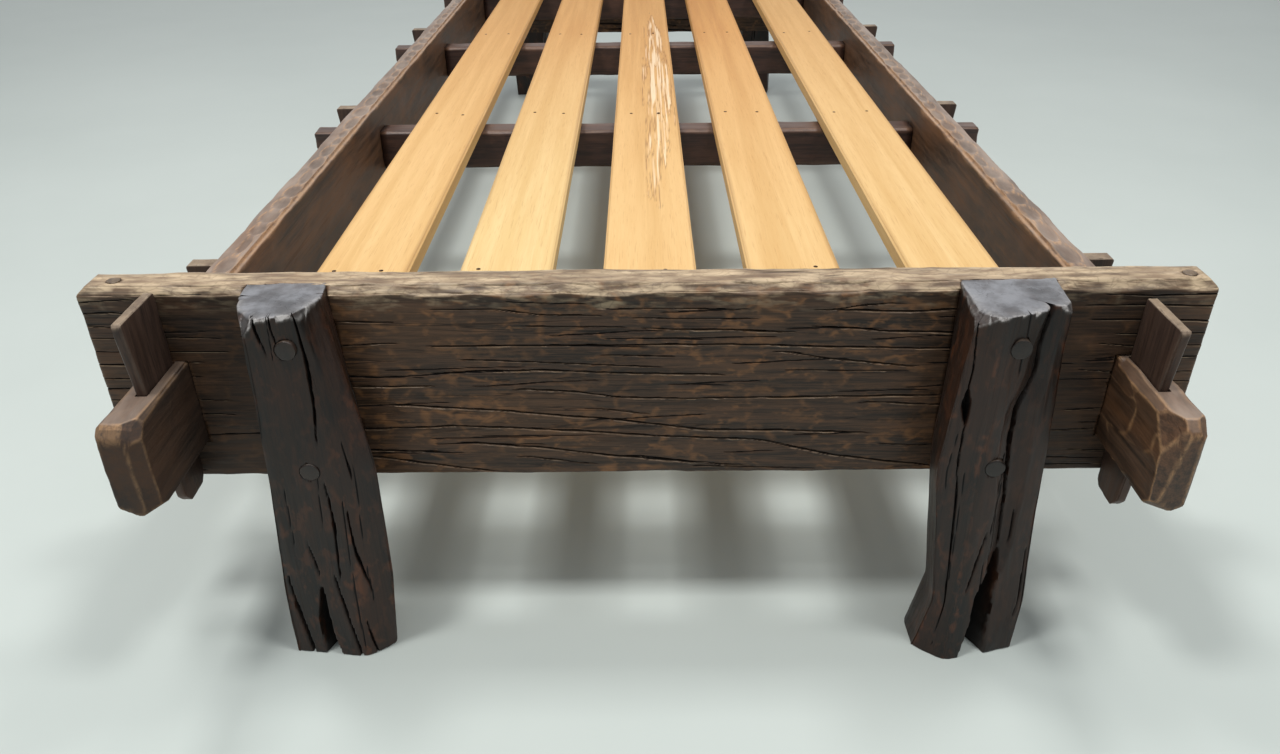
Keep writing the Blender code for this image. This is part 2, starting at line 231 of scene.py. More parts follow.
def box_section(u, v, chamfer):
    """An eight-cornered outline: a rectangle from u[0] to u[1] and v[0] to v[1] with cut corners.
    chamfer is one size, or four from the corner at u[1] and v[0] on."""
    (u0, u1), (v0, v1) = u, v
    a, b, c, d = np.broadcast_to(chamfer, 4)
    return np.array([
        (u0 + d, v0), (u1 - a, v0), (u1, v0 + a), (u1, v1 - b),
        (u1 - b, v1), (u0 + c, v1), (u0, v1 - c), (u0, v0 + d),
    ])


def all_along(outline, stations):
    """The same outline at every station."""
    return np.repeat(outline[None], len(stations), axis=0)


def round_section(centre, radius, sides=24):
    """A circle's outline."""
    turn = np.arange(sides) * 2 * math.pi / sides
    return np.array(centre) + radius * np.stack([np.cos(turn), np.sin(turn)], axis=1)


def loft(name, axis, stations, sections, spacing, carve, material,
         soften=1, end_swell=0.0, seed=0, hewing=None):
    """A closed timber mesh. sections holds one outline for each station along the axis, carve(s, t, edges)
    gives the surface's height there with its masks of darkening (splits, stain and painted shade), wear and
    ridge, and hewing(points, masks) cuts facets."""
    stations, sections = np.asarray(stations, float), np.asarray(sections, float)
    side, share, t, edges = ring_layout(sections[len(sections) // 2], spacing)
    after = (side + 1) % sections.shape[1]
    rings = sections[:, side] * (1 - share)[None, :, None] + sections[:, after] * share[None, :, None]
    for _ in range(soften):
        rings = (np.roll(rings, 1, axis=1) + 2 * rings + np.roll(rings, -1, axis=1)) / 4
    run = np.roll(rings, -1, axis=1) - np.roll(rings, 1, axis=1)
    run /= np.maximum(np.linalg.norm(run, axis=2, keepdims=True), 1e-9)
    outward = np.stack([run[..., 1], -run[..., 0]], axis=2)
    ss, tt = np.meshgrid(stations, t, indexing="ij")
    height, masks = carve(ss, tt, edges)
    rings = rings + outward * height[..., None]
    along = ss.copy()
    for end, sign in ((0, -1), (-1, 1)):
        rim = rings[end]
        middle = rim.mean(axis=0)
        scales = np.array(CAP_SCALES)[:, None, None]
        cap = middle + (rim - middle) * scales
        bumps = rough(cap[..., 0] * CAP_GRAIN, cap[..., 1] * CAP_GRAIN, seed)
        bulge = end_swell * (1 - scales[..., 0] ** 2) + CAP_ROUGH * bumps
        depth = stations[end] + sign * bulge
        fade = {key: value[end] * scales[..., 0] ** CAP_FADE for key, value in masks.items()}
        if end == 0:
            cap, depth = cap[::-1], depth[::-1]
            fade = {key: value[::-1] for key, value in fade.items()}
            rings, along = np.concatenate([cap, rings]), np.concatenate([depth, along])
            masks = {key: np.concatenate([fade[key], masks[key]]) for key in masks}
        else:
            rings, along = np.concatenate([rings, cap]), np.concatenate([along, depth])
            masks = {key: np.concatenate([masks[key], fade[key]]) for key in masks}
    return mesh_from_rings(name, axis, rings, along, masks, material, hewing)


def mesh_from_rings(name, axis, rings, along, masks, material, hewing):
    """Joins the rings with faces, closes both ends on a middle point and stores the masks on the points."""
    count, size = along.shape
    a = "XYZ".index(axis)
    points = np.empty((count * size + 2, 3))
    points[:-2, a] = along.ravel()
    points[:-2, (a + 1) % 3] = rings[..., 0].ravel()
    points[:-2, (a + 2) % 3] = rings[..., 1].ravel()
    points[-2] = points[:size].mean(axis=0)
    points[-1] = points[-2 - size:-2].mean(axis=0)
    marks = {key: np.append(value.ravel(), [0, 0]) for key, value in masks.items()}
    if hewing:
        hewing(points, marks)
    k = np.arange(size)
    here = np.arange(count - 1)[:, None] * size + k
    there = np.arange(count - 1)[:, None] * size + (k + 1) % size
    quads = np.stack([here, there, there + size, here + size], axis=2).reshape(-1, 4)
    last = (count - 1) * size
    first_fan = np.stack([np.full(size, count * size), (k + 1) % size, k], axis=1)
    last_fan = np.stack([np.full(size, count * size + 1), last + k, last + (k + 1) % size], axis=1)
    mesh = bpy.data.meshes.new(name)
    mesh.from_pydata(points.tolist(), [], quads.tolist() + first_fan.tolist() + last_fan.tolist())
    for key, value in marks.items():
        layer = mesh.attributes.new(key, "FLOAT", "POINT")
        layer.data.foreach_set("value", value.astype(np.float32))
    mesh.materials.append(material)
    return put_in_scene(name, mesh)


print("each end closes in", len(CAP_SCALES), "rings and a middle point")

# %% [markdown]
# Splits, worn edges and rounded ends
#
# Old timber opens along the grain as it dries. A split is a line along the grain with a width that tapers
# to nothing at its tips, and the surface drops into it like a V. A worn edge is the opposite of a machine
# bevel: it is wide in some places and nearly sharp in others. Both are written as heights on the flat
# sheet of the loft, and both leave a mask behind that the wood shader can colour.

# %% Carving helpers
SPLIT_RAGGED, SPLIT_BEND = 0.0012, 0.005


def split(s, t, path, depth, lip=0.0):
    """A split along a path of (s, t, half width) points: its depth, dark mask and raised lower lip."""
    path_s, path_t, path_w = np.array(sorted(path)).T
    width, middle = 0.0, 0.0
    for step, weight in ((-SPLIT_BEND, 0.25), (0, 0.5), (SPLIT_BEND, 0.25)):
        width = width + weight * np.interp(s + step, path_s, path_w)
        middle = middle + weight * np.interp(s + step, path_s, path_t)
    ragged = np.minimum(width, SPLIT_RAGGED)
    middle = middle + 0.5 * ragged * noise(s * 60, path_t[0] * 977, 5)
    width = width + 0.35 * ragged * noise(s * 130, path_t[0] * 577, 6)
    open_here = (s >= path_s[0]) & (s <= path_s[-1]) & (width > 1.5e-4)
    across = (t - middle) / np.maximum(width, 1e-5)
    core = np.clip(1.3 - np.abs(across), 0, 1) ** 0.75 * open_here
    edge = np.clip(1 - np.abs(across - 2.0), 0, 1) * open_here
    return -depth * core + lip * edge, core, edge


def drying_splits(rng, s_range, t_range, count, lengths, widths, slope):
    """Random splits along the grain, each a path of (s, t, half width) points."""
    found = []
    for _ in range(count):
        length = rng.uniform(*lengths)
        start = rng.uniform(s_range[0] - 0.3 * length, s_range[1] - 0.7 * length)
        place, width = rng.uniform(*t_range), rng.uniform(*widths)
        drift = slope * length + rng.uniform(-0.004, 0.004)
        found.append([
            (start, place, 0.0003),
            (start + 0.2 * length, place + 0.15 * drift, width),
            (start + 0.6 * length, place + 0.65 * drift, 0.8 * width),
            (start + length, place + drift, 0.0003),
        ])
    return found


def hewn_face(s, t, seed, cut, deep, bumps, scales, sunk, line=0.22):
    """The height of a hewn face and the ridges between its cuts. cut is the length and width of one cut,
    deep its depth, bumps and scales are the roughness and sunk is how far the face lies inside."""
    cuts, ridge = adze_cuts(s, t, *cut, seed, line)
    return -deep * (1 - cuts) + bumps * rough(s * scales[0], t * scales[1], seed) - sunk, ridge


def worn_edge(s, t, place, wide, deep, seed, calm=0.5):
    """A worn edge at distance place round the section: the drop, and a mask of bare wood."""
    vary = np.clip(1 + (1 - calm) * 1.5 * rough(s * 22, place * 300, seed, 3), 0.25, 2.2)
    near = np.clip(1 - np.abs(t - place) / (wide * vary), 0, 1)
    return -deep * vary * near**1.5, np.clip(near * 1.6, 0, 1)


def cut_edge(s, t, place, half, least, most, pitch, seed):
    """A bevel of knife cuts on an edge that is already cut off over half a width each way: drop and mask."""
    hollow, size = knife_cuts(s, pitch, seed)
    more = least + (most - least) * (0.25 + 0.75 * size) * hollow
    away = np.abs(t - place)
    drop = np.where(away < half, 0.7 * more, np.clip(more + half - away, 0, None))
    patches = np.clip(0.55 + 0.85 * rough(s * 60, t * 190, seed + 4), 0.1, 1)
    return -drop, np.clip((half + more - away) / 0.0010, 0, 1) * patches


def rounded_ends(s, t, low, high, radius, seed):
    """Ends that curve in over about one radius, more in some places than in others."""
    r = radius * (1 + 0.5 * rough(t * 45, seed * 3.1, seed, 2))
    away = np.minimum(s - low, high - s)
    x = np.clip(1 - away / r, 0, 1)
    return -r * (1 - np.sqrt(1 - 0.98 * x * x)), x**2


def hew(points, masks, where, normal, cut, border=0.6, bare=0.0, line=0.0013):
    """Slices a flat facet off the chosen points, cut deep into their far corner along the normal. The wear
    mask loses what was on the facet and gets a pale border and, if bare is set, the whole facet."""
    normal = np.array(normal, float) / np.linalg.norm(normal)
    out = points[where] @ normal
    past = out - (out.max() - cut)
    points[where] -= np.clip(past, 0, None)[:, None] * normal
    pale = np.maximum(border * np.clip(1 - np.abs(past) / line, 0, 1), bare * (past > 0))
    masks["wear"][where] = np.maximum(np.where(past > line, 0, masks["wear"][where]), pale)


def stations_between(low, high, step, fine=(0.0, 0.0012, 0.003, 0.006, 0.010)):
    """Ring places from low to high, close together near both ends."""
    inner_low, inner_high = low + fine[-1] + step / 2, high - fine[-1] - step / 2
    inner = np.linspace(inner_low, inner_high, max(2, round((inner_high - inner_low) / step)))
    return np.concatenate([low + np.array(fine), inner, high - np.array(fine[::-1])])


print("carving tools ready")

# %% [markdown]
# Wood from nodes
#
# All the dark timbers share the same effects, only stronger or weaker: streaks along the grain, fine
# hairline splits, bare wood where hands and mattresses rubbed, and a grey layer on faces that look up, which
# is partly polish and dusty grime and partly a painted sheen for the bright room reflected on the tops.
# Each effect is one node group with named sockets, built once. A material places the groups it needs,
# gives them its own values and mixes its own colours with the masks that come out.

# %% Node helpers
GRAIN_TURN = {"X": (0, 0, 0), "Y": (0, 0, -math.pi / 2), "Z": (0, math.pi / 2, 0)}


def srgb(red, green, blue):
    """A colour read from 0 to 255, as a shader wants it."""
    parts = [c / 255 for c in (red, green, blue)]
    return (*[c / 12.92 if c < 0.04 else ((c + 0.055) / 1.055) ** 2.4 for c in parts], 1)


def feed(tree, socket, value):
    """Links a socket or sets a plain value."""
    if isinstance(value, bpy.types.NodeSocket):
        tree.links.new(value, socket)
    else:
        socket.default_value = value


def add_node(tree, kind, settings=None, **inputs):
    """A new node with its settings and its inputs, named as Blender shows them, with _ for a space."""
    node = tree.nodes.new(kind)
    for key, value in (settings or {}).items():
        setattr(node, key, value)
    for key, value in inputs.items():
        feed(tree, node.inputs[key.replace("_", " ")], value)
    return node


def work_out(tree, operation, a, b=0.0):
    """One sum on two values, kept from 0 to 1."""
    node = add_node(tree, "ShaderNodeMath", {"operation": operation, "use_clamp": True})
    feed(tree, node.inputs[0], a)
    feed(tree, node.inputs[1], b)
    return node.outputs[0]


def times(tree, a, b):
    """Two values multiplied, kept from 0 to 1."""
    return work_out(tree, "MULTIPLY", a, b)


def scaled(tree, where, scales):
    """A place in space with its own scale along each axis."""
    node = add_node(tree, "ShaderNodeVectorMath", {"operation": "MULTIPLY"})
    feed(tree, node.inputs[0], where)
    node.inputs[1].default_value = scales
    return node.outputs[0]


def spread(tree, value, low, high, to_low=0.0, to_high=1.0):
    """Stretches the part of a value from low to high over another range."""
    node = add_node(tree, "ShaderNodeMapRange", {"interpolation_type": "SMOOTHSTEP"}, Value=value)
    for key, number in (("From Min", low), ("From Max", high), ("To Min", to_low), ("To Max", to_high)):
        node.inputs[key].default_value = number
    return node.outputs[0]


def mix_colours(tree, share, first, second):
    """Goes from the first colour to the second as share goes from 0 to 1."""
    node = add_node(tree, "ShaderNodeMix", {"data_type": "RGBA"})
    feed(tree, node.inputs[0], share)
    feed(tree, node.inputs[6], first)
    feed(tree, node.inputs[7], second)
    return node.outputs[2]


def stretched_noise(tree, where, scales, detail=4.0, roughness=0.55, distortion=0.0):
    """Noise with its own scale along the grain and across it."""
    found = add_node(
        tree, "ShaderNodeTexNoise", Vector=scaled(tree, where, scales), Scale=1.0, Detail=detail,
        Roughness=roughness, Distortion=distortion,
    )
    return found.outputs["Fac"]


def new_group(name, inputs, outputs):
    """An empty node group with named sockets: its tree, its inputs and its output node."""
    tree = bpy.data.node_groups.new(name, "ShaderNodeTree")
    for label, kind, value in inputs:
        socket = tree.interface.new_socket(label, in_out="INPUT", socket_type=kind)
        if value is not None:
            socket.default_value = value
    for label in outputs:
        tree.interface.new_socket(label, in_out="OUTPUT", socket_type="NodeSocketFloat")
    return tree, tree.nodes.new("NodeGroupInput").outputs, tree.nodes.new("NodeGroupOutput")


def use_group(tree, group, **inputs):
    """Places a group in a material and returns its outputs."""
    return add_node(tree, "ShaderNodeGroup", {"node_tree": group}, **inputs).outputs


print("grain can run along", " ".join(GRAIN_TURN))

# %% [markdown]
# Four shared effects
#
# Grain is noise pulled out long in one direction. Hairlines are the thin lines where such noise passes
# through its middle value, let through only in some places. Bare wood and tool marks start from the masks
# that the carving left on the mesh and are broken up with noise, because wear is never even. The rims of
# the tool marks are the borders of cells that noise has bent. The grey layer reads how far a face looks
# up, so it lies on the tops: partly years of polish and dusty grime, partly a painted sheen that stands
# for the bright room reflected there.

# %% Wood effects
VECTOR, FLOAT = "NodeSocketVector", "NodeSocketFloat"
CELL_SWAY = (30, 45, 45)  # the scale of the noise that bends the rims of tool marks


def grain_group():
    """Streaks and fibres along the grain, wide blotches, and the fine relief that they make."""
    tree, given, out = new_group(
        "timber_grain", [("Along Grain", VECTOR, None)], ["Tone", "Blotch", "Height"]
    )
    where = given["Along Grain"]
    streaks = stretched_noise(tree, where, (7, 150, 150), 5, 0.6, 0.25)
    fibres = stretched_noise(tree, where, (26, 620, 620), 3, 0.6)
    blotch = stretched_noise(tree, where, (5, 17, 17), 3, 0.6, 0.4)
    fine = work_out(tree, "MULTIPLY_ADD", fibres, 0.45)
    feed(tree, fine.node.inputs[2], times(tree, streaks, 0.55))
    feed(tree, out.inputs["Tone"], spread(tree, fine, 0.38, 0.62))
    feed(tree, out.inputs["Blotch"], spread(tree, blotch, 0.42, 0.68))
    half = times(tree, streaks, 0.5)
    feed(tree, out.inputs["Height"], work_out(tree, "MULTIPLY_ADD", fibres, half))
    return tree


def hairline_group():
    """Thin dark lines along the grain where noise passes through its middle value."""
    tree, given, out = new_group(
        "hairline_splits", [("Along Grain", VECTOR, None), ("Amount", FLOAT, 0.5)], ["Lines"]
    )
    where = given["Along Grain"]
    wander = stretched_noise(tree, where, (3.2, 95, 95), 2, 0.5, 0.35)
    off_middle = add_node(tree, "ShaderNodeMath", {"operation": "SUBTRACT"})
    feed(tree, off_middle.inputs[0], wander)
    off_middle.inputs[1].default_value = 0.5
    distance = add_node(tree, "ShaderNodeMath", {"operation": "ABSOLUTE"})
    feed(tree, distance.inputs[0], off_middle.outputs[0])
    line = spread(tree, distance.outputs[0], 0.0, 0.022, 1.0, 0.0)
    gate = spread(tree, stretched_noise(tree, where, (4, 30, 30), 2), 0.44, 0.62)
    shown = times(tree, line, gate)
    feed(tree, out.inputs["Lines"], times(tree, shown, given["Amount"]))
    return tree


def bent_cells(tree, where, scales, bend):
    """The distance to the edges of cells that noise pulls out of shape, like the rims of tool cuts."""
    sway = add_node(
        tree, "ShaderNodeTexNoise", Vector=scaled(tree, where, CELL_SWAY), Scale=1.0, Detail=2.0
    )
    moved = add_node(tree, "ShaderNodeVectorMath", {"operation": "MULTIPLY_ADD"})
    feed(tree, moved.inputs[0], sway.outputs["Color"])
    moved.inputs[1].default_value = (bend, bend, bend)
    feed(tree, moved.inputs[2], where)
    cells = add_node(
        tree, "ShaderNodeTexVoronoi", {"feature": "DISTANCE_TO_EDGE"},
        Vector=scaled(tree, moved.outputs[0], scales), Scale=1.0,
    )
    return cells.outputs["Distance"]


def rubbed_group():
    """Bare wood where the wear mask says so, and warm tool marks where the ridge mask does."""
    tree, given, out = new_group(
        "rubbed_wood",
        [("Along Grain", VECTOR, None), ("Wear", FLOAT, 0.0), ("Ridge", FLOAT, 0.0), ("Amount", FLOAT, 0.5)],
        ["Bare", "Warm"],
    )
    where = given["Along Grain"]
    patch = stretched_noise(tree, where, (42, 150, 150), 5, 0.65, 0.3)
    broken = times(tree, given["Wear"], spread(tree, patch, 0.36, 0.56, 0.3, 1.0))
    crazed = spread(tree, bent_cells(tree, where, (75, 120, 120), 0.012), 0.0, 0.09, 0.72, 1.0)
    broken = times(tree, broken, crazed)
    feed(tree, out.inputs["Bare"], times(tree, broken, given["Amount"]))
    arcs = spread(tree, bent_cells(tree, where, (38, 62, 62), 0.022), 0.0, 0.22, 0.8, 0.0)
    gate = spread(tree, stretched_noise(tree, where, (42, 80, 80), 3, 0.6), 0.48, 0.60)
    arcs = times(tree, arcs, gate)
    clouds = spread(tree, stretched_noise(tree, where, (34, 110, 110), 5, 0.65), 0.52, 0.72, 0.0, 0.7)
    island = spread(tree, stretched_noise(tree, where, (6, 11, 11), 3, 0.6), 0.36, 0.58, 0.3, 1.0)
    marks = times(tree, given["Ridge"], work_out(tree, "MAXIMUM", arcs, clouds))
    feed(tree, out.inputs["Warm"], times(tree, marks, island))
    return tree


def dust_and_sheen_group():
    """A cloudy grey layer on what looks up: partly dusty polish, partly a painted sheen for the reflected
    room.
    """
    tree, given, out = new_group(
        "grey_dust_and_sheen", [("Along Grain", VECTOR, None), ("Amount", FLOAT, 0.5)], ["Film"]
    )
    normal = add_node(tree, "ShaderNodeNewGeometry").outputs["Normal"]
    facing = add_node(tree, "ShaderNodeSeparateXYZ", Vector=normal)
    up = spread(tree, facing.outputs["Z"], 0.55, 0.98)
    patches = stretched_noise(tree, given["Along Grain"], (12, 40, 40), 4, 0.6)
    cloud = spread(tree, patches, 0.32, 0.68, 0.35, 1.0)
    dust_sheen = times(tree, up, cloud)
    feed(tree, out.inputs["Film"], times(tree, dust_sheen, given["Amount"]))
    return tree


GRAIN, HAIRLINES, RUBBED, DUST_AND_SHEEN = grain_group(), hairline_group(), rubbed_group(), dust_and_sheen_group()
print("groups:", [group.name for group in bpy.data.node_groups])

# %% [markdown]
# The dark timbers
#
# The frame of the bed is stained almost black, with the brown and red of the wood coming through on
# ridges and cream where edges are rubbed bare. One function builds this wood with its grain along a
# chosen axis. The boards, rails, legs, wedges, pegs and bearers each call it with the colours seen on
# that piece.

# %% Hewn wood
def material_with_shader(name):
    """A new material: its tree and its Principled BSDF."""
    material = bpy.data.materials.new(name)
    material.use_nodes = True
    return material, material.node_tree, material.node_tree.nodes["Principled BSDF"]


def object_place(tree):
    """A place on the object, as its own coordinates give it."""
    return add_node(tree, "ShaderNodeTexCoord").outputs["Object"]


def along_grain(tree, grain):
    """The same place, turned so that its first coordinate runs along the grain."""
    turned = add_node(tree, "ShaderNodeMapping", Vector=object_place(tree))
    turned.inputs["Rotation"].default_value = GRAIN_TURN[grain]
    return turned.outputs[0]


def mask_of(tree, name):
    """A mask that the carving stored on the mesh."""
    return add_node(tree, "ShaderNodeAttribute", {"attribute_name": name}).outputs["Fac"]


def hewn_wood(name, grain, deep, body, warm, bare, dust_sheen_colour, rubbed=0.9, dust_sheen=0.4, hairlines=0.7, gloss=0.42,
              shine=0.5, blotch=0.35):
    """A stained hand-hewn wood. deep, body, warm, bare and the grey of the tops are its colours, each from
    0 to 255. The grey of the tops is partly dusty polish and partly a painted sheen.
    """
    deep, body, warm, bare, dust_sheen_colour = (srgb(*colour) for colour in (deep, body, warm, bare, dust_sheen_colour))
    material, tree, shader = material_with_shader(name)
    where = along_grain(tree, grain)
    figure = use_group(tree, GRAIN, Along_Grain=where)
    lines = use_group(tree, HAIRLINES, Along_Grain=where, Amount=hairlines)["Lines"]
    wear, ridge = mask_of(tree, "wear"), mask_of(tree, "ridge")
    marks = use_group(tree, RUBBED, Along_Grain=where, Wear=wear, Ridge=ridge, Amount=rubbed)
    dust_and_sheen = use_group(tree, DUST_AND_SHEEN, Along_Grain=where, Amount=dust_sheen)["Film"]
    crack_stain_shade_mask = mask_of(tree, "crack_stain_shade")
    colour = mix_colours(tree, figure["Tone"], deep, body)
    colour = mix_colours(tree, times(tree, figure["Blotch"], blotch), colour, warm)
    colour = mix_colours(tree, times(tree, marks["Warm"], 0.85), colour, warm)
    # The tops turn grey: partly dusty polish, partly a painted sheen for the bright room they reflect.
    colour = mix_colours(tree, dust_and_sheen, colour, dust_sheen_colour)
    colour = mix_colours(tree, marks["Bare"], colour, bare)
    # The darkening mask holds splits, stain and painted shade, and all of them pull the colour towards near
    # black.
    dark = work_out(tree, "MAXIMUM", lines, spread(tree, crack_stain_shade_mask, 0.05, 0.55))
    colour = mix_colours(tree, times(tree, dark, 0.94), colour, srgb(9, 6, 5))
    feed(tree, shader.inputs["Base Color"], colour)
    sheen = work_out(tree, "MULTIPLY_ADD", figure["Tone"], 0.12)
    sheen.node.inputs[2].default_value = gloss
    rougher = work_out(tree, "MULTIPLY_ADD", dark, 0.35)
    feed(tree, rougher.node.inputs[2], sheen)
    feed(tree, shader.inputs["Roughness"], rougher)
    shader.inputs["Specular IOR Level"].default_value = shine
    relief = work_out(tree, "SUBTRACT", figure["Height"], times(tree, lines, 0.6))
    bump = add_node(tree, "ShaderNodeBump", Strength=0.35, Distance=0.0012, Height=relief)
    feed(tree, shader.inputs["Normal"], bump.outputs[0])
    return material


# The grey of the tops is partly dusty polish and partly a painted sheen.
BARE_CREAM, DUST_SHEEN_GREY = (210, 186, 152), (166, 146, 130)
board_wood = hewn_wood(
    "board_wood", "X", (37, 27, 19), (80, 59, 44), (142, 98, 60), BARE_CREAM, (140, 116, 92),
    dust_sheen=0.8, shine=0.35, blotch=0.15,
)
rail_wood = hewn_wood(
    "rail_wood", "Y", (55, 40, 29), (96, 70, 51), (140, 92, 54), (196, 152, 108), DUST_SHEEN_GREY,
    dust_sheen=0.8, hairlines=0.2,
)
# The legs' tops go a bluish grey: partly dusty polish, partly a painted reflection of the pale sky.
leg_wood = hewn_wood(
    "leg_wood", "Z", (15, 11, 9), (36, 25, 18), (98, 56, 32), (190, 186, 182), (142, 143, 147),
    rubbed=0.8, dust_sheen=0.8, hairlines=0.3, gloss=0.36, shine=0.4, blotch=0.15,
)
key_wood = hewn_wood(
    "key_wood", "Z", (50, 37, 31), (76, 57, 47), (98, 70, 52), (172, 152, 130), (164, 143, 118),
    rubbed=0.8, dust_sheen=0.8, hairlines=0.25, gloss=0.48, shine=0.35,
)
peg_wood = hewn_wood(
    "peg_wood", "Y", (22, 17, 14), (40, 31, 26), (70, 50, 36), (164, 138, 106), (110, 94, 80),
    rubbed=0.6, dust_sheen=0.5, hairlines=0.2, gloss=0.36,
)
bearer_wood = hewn_wood(
    "bearer_wood", "X", (40, 27, 24), (70, 48, 40), (104, 70, 52), (150, 112, 84), (118, 88, 70),
    rubbed=0.7, dust_sheen=0.5, hairlines=0.35, gloss=0.4,
)
print("dark woods:", [m.name for m in bpy.data.materials if m.name.endswith("_wood")])

# %% [markdown]
# The slats' pale wood, the screws and the floor
#
# The slats are newer planed boards of honey-coloured wood with fine straight grain and a satin surface.
# On the middle one the grain is torn out in a long pale streak, which the mesh marks with the wear mask.
# The screws are small dark steel heads, and the floor is a pale plain surface with only a trace of
# cloudiness.

# %% Planed wood, steel and floor
def planed_wood(name, grain):
    """A planed honey-coloured wood, deeper in colour where the ridge mask is high. On the slats that mask
    holds each slat's own tone and a painted light that is paler towards the foot.
    """
    material, tree, shader = material_with_shader(name)
    where = along_grain(tree, grain)
    figure = use_group(tree, GRAIN, Along_Grain=where)
    bands = stretched_noise(tree, where, (1.3, 42, 42), 4, 0.6, 0.5)
    band = spread(tree, bands, 0.32, 0.68)
    pale = mix_colours(tree, band, srgb(236, 208, 152), srgb(226, 194, 134))
    honey = mix_colours(tree, band, srgb(218, 162, 98), srgb(203, 145, 84))
    colour = mix_colours(tree, mask_of(tree, "ridge"), pale, honey)
    colour = mix_colours(tree, times(tree, figure["Tone"], 0.14), colour, srgb(200, 140, 72))
    pores = spread(tree, stretched_noise(tree, where, (30, 900, 900), 2, 0.5), 0.58, 0.72)
    colour = mix_colours(tree, times(tree, pores, 0.25), colour, srgb(168, 104, 52))
    torn = mask_of(tree, "wear")
    colour = mix_colours(tree, torn, colour, srgb(244, 222, 190))
    colour = mix_colours(tree, mask_of(tree, "crack_stain_shade"), colour, srgb(120, 72, 36))
    feed(tree, shader.inputs["Base Color"], colour)
    feed(tree, shader.inputs["Roughness"], spread(tree, torn, 0.0, 1.0, 0.55, 0.85))
    shader.inputs["Specular IOR Level"].default_value = 0.12
    bump = add_node(tree, "ShaderNodeBump", Strength=0.12, Distance=0.0006, Height=figure["Height"])
    feed(tree, shader.inputs["Normal"], bump.outputs[0])
    return material


def dark_steel(name):
    """The brown worn steel of the screws."""
    material, tree, shader = material_with_shader(name)
    stain = spread(tree, stretched_noise(tree, object_place(tree), (900, 900, 900), 3), 0.35, 0.7)
    feed(tree, shader.inputs["Base Color"], mix_colours(tree, stain, srgb(104, 78, 54), srgb(60, 42, 28)))
    feed(tree, shader.inputs["Roughness"], spread(tree, stain, 0.0, 1.0, 0.35, 0.6))
    shader.inputs["Metallic"].default_value = 0.9
    return material


def pale_floor(name):
    """A pale matt floor with a trace of cloudiness."""
    material, tree, shader = material_with_shader(name)
    cloud = stretched_noise(tree, object_place(tree), (1.6, 1.6, 1.6), 5, 0.6)
    colour = mix_colours(tree, cloud, srgb(196, 204, 198), srgb(210, 217, 211))
    feed(tree, shader.inputs["Base Color"], colour)
    shader.inputs["Roughness"].default_value = 0.55
    return material


slat_wood, screw_steel = planed_wood("slat_wood", "Y"), dark_steel("screw_steel")
FLOOR_SIDE = 40.0
bpy.ops.mesh.primitive_grid_add(x_subdivisions=4, y_subdivisions=4, size=FLOOR_SIDE)
floor = bpy.context.object
floor.name = "floor"
floor.data.materials.append(pale_floor("pale_floor"))
print("floor", FLOOR_SIDE, "m, slats in", slat_wood.name)

# %% [markdown]
# Joinery
#
# The bed comes apart without glue: rails pass through the end boards and are held by wedges, bearers pass
# through the rails the same way, and pegs hold the legs. So the dressed timbers need real mortises. We
# take the mating solids out of each timber with a Boolean, and use the frame's own pieces as the cutters,
# made a hair larger so that the wedges still slide.

# %% Joinery helpers
BODY_OF = {node: body for body, nodes in frame["record"]["behaviour"]["bodies"].items() for node in nodes}
SMOOTH_ANGLE = math.radians(38)
WELD_WITHIN = 1e-6  # a solid's corners are stored once for each face, and a Boolean needs them joined


def points_of(piece):
    """All points of a piece's mesh, or of a node's solid."""
    points = np.empty(3 * len(piece.data.vertices), np.float32)
    piece.data.vertices.foreach_get("co", points)
    return points.reshape(-1, 3).astype(float)


def cutter_like(source, grow):
    """A copy of a solid that is larger by grow on every side."""
    mesh = source.data.copy()
    weld = put_in_scene("cutter_" + source.name, mesh)
    points = points_of(weld)
    low, high = points.min(axis=0), points.max(axis=0)
    middle = (low + high) / 2
    points = middle + (points - middle) * (high - low + 2 * grow) / (high - low)
    mesh.vertices.foreach_set("co", points.astype(np.float32).ravel())
    joiner = weld.modifiers.new("weld", "WELD")
    joiner.merge_threshold = WELD_WITHIN
    weld.hide_render = True
    return weld


def cut_joints(piece, cutters):
    """Takes the cutters out of a piece and keeps the result as its mesh."""
    for cutter in cutters:
        notch = piece.modifiers.new("joint", "BOOLEAN")
        notch.object = cutter
        notch.operation = "DIFFERENCE"
        notch.solver = "MANIFOLD"
    bpy.context.view_layer.update()
    graph = bpy.context.evaluated_depsgraph_get()
    whole = piece.data
    piece.data = bpy.data.meshes.new_from_object(piece.evaluated_get(graph))
    piece.modifiers.clear()
    bpy.data.meshes.remove(whole)
    for cutter in cutters:
        bpy.data.objects.remove(cutter)


def dress(piece, node):
    """Shades a finished piece, hides the node that it stands for and makes it ride on that node's body."""
    piece.data.shade_smooth()
    piece.data.set_sharp_from_angle(angle=SMOOTH_ANGLE)
    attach(piece, BODY_OF[node])
    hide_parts(node)
    return piece


def masks_like(s):
    """Empty masks of darkening (splits, stain and painted shade), wear and ridge."""
    return {key: np.zeros(s.shape) for key in ("crack_stain_shade", "wear", "ridge")}


def mark(masks, key, amount):
    """Raises a mask to the amount where it is lower."""
    masks[key] = np.maximum(masks[key], amount)


def add_splits(s, t, height, masks, paths, depth, lip=0.0, pale=0.0, dark=1.0):
    """Opens several splits in a surface, with a raised and paler lower lip."""
    for path in paths:
        drop, core, edge = split(s, t, path, depth, lip)
        height += drop
        mark(masks, "crack_stain_shade", dark * core)
        mark(masks, "wear", pale * edge)


# %% [markdown]
# The legs
#
# Each leg is a short thick post that was split from a trunk and never squared, so no two sections along
# it are alike. Outlines at a few heights, read from the photograph, give the crooked stance, and the loft
# runs smoothly through them. The fissures on the front are the deepest on the bed, and the right one
# opens into a hollow at the floor. Facets are broken off the top, and its front edge is chipped. The two
# legs at the head end are the same shapes turned half way round.

# %% Legs
LEG_FACE = abs(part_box("foot_board")[0].y)
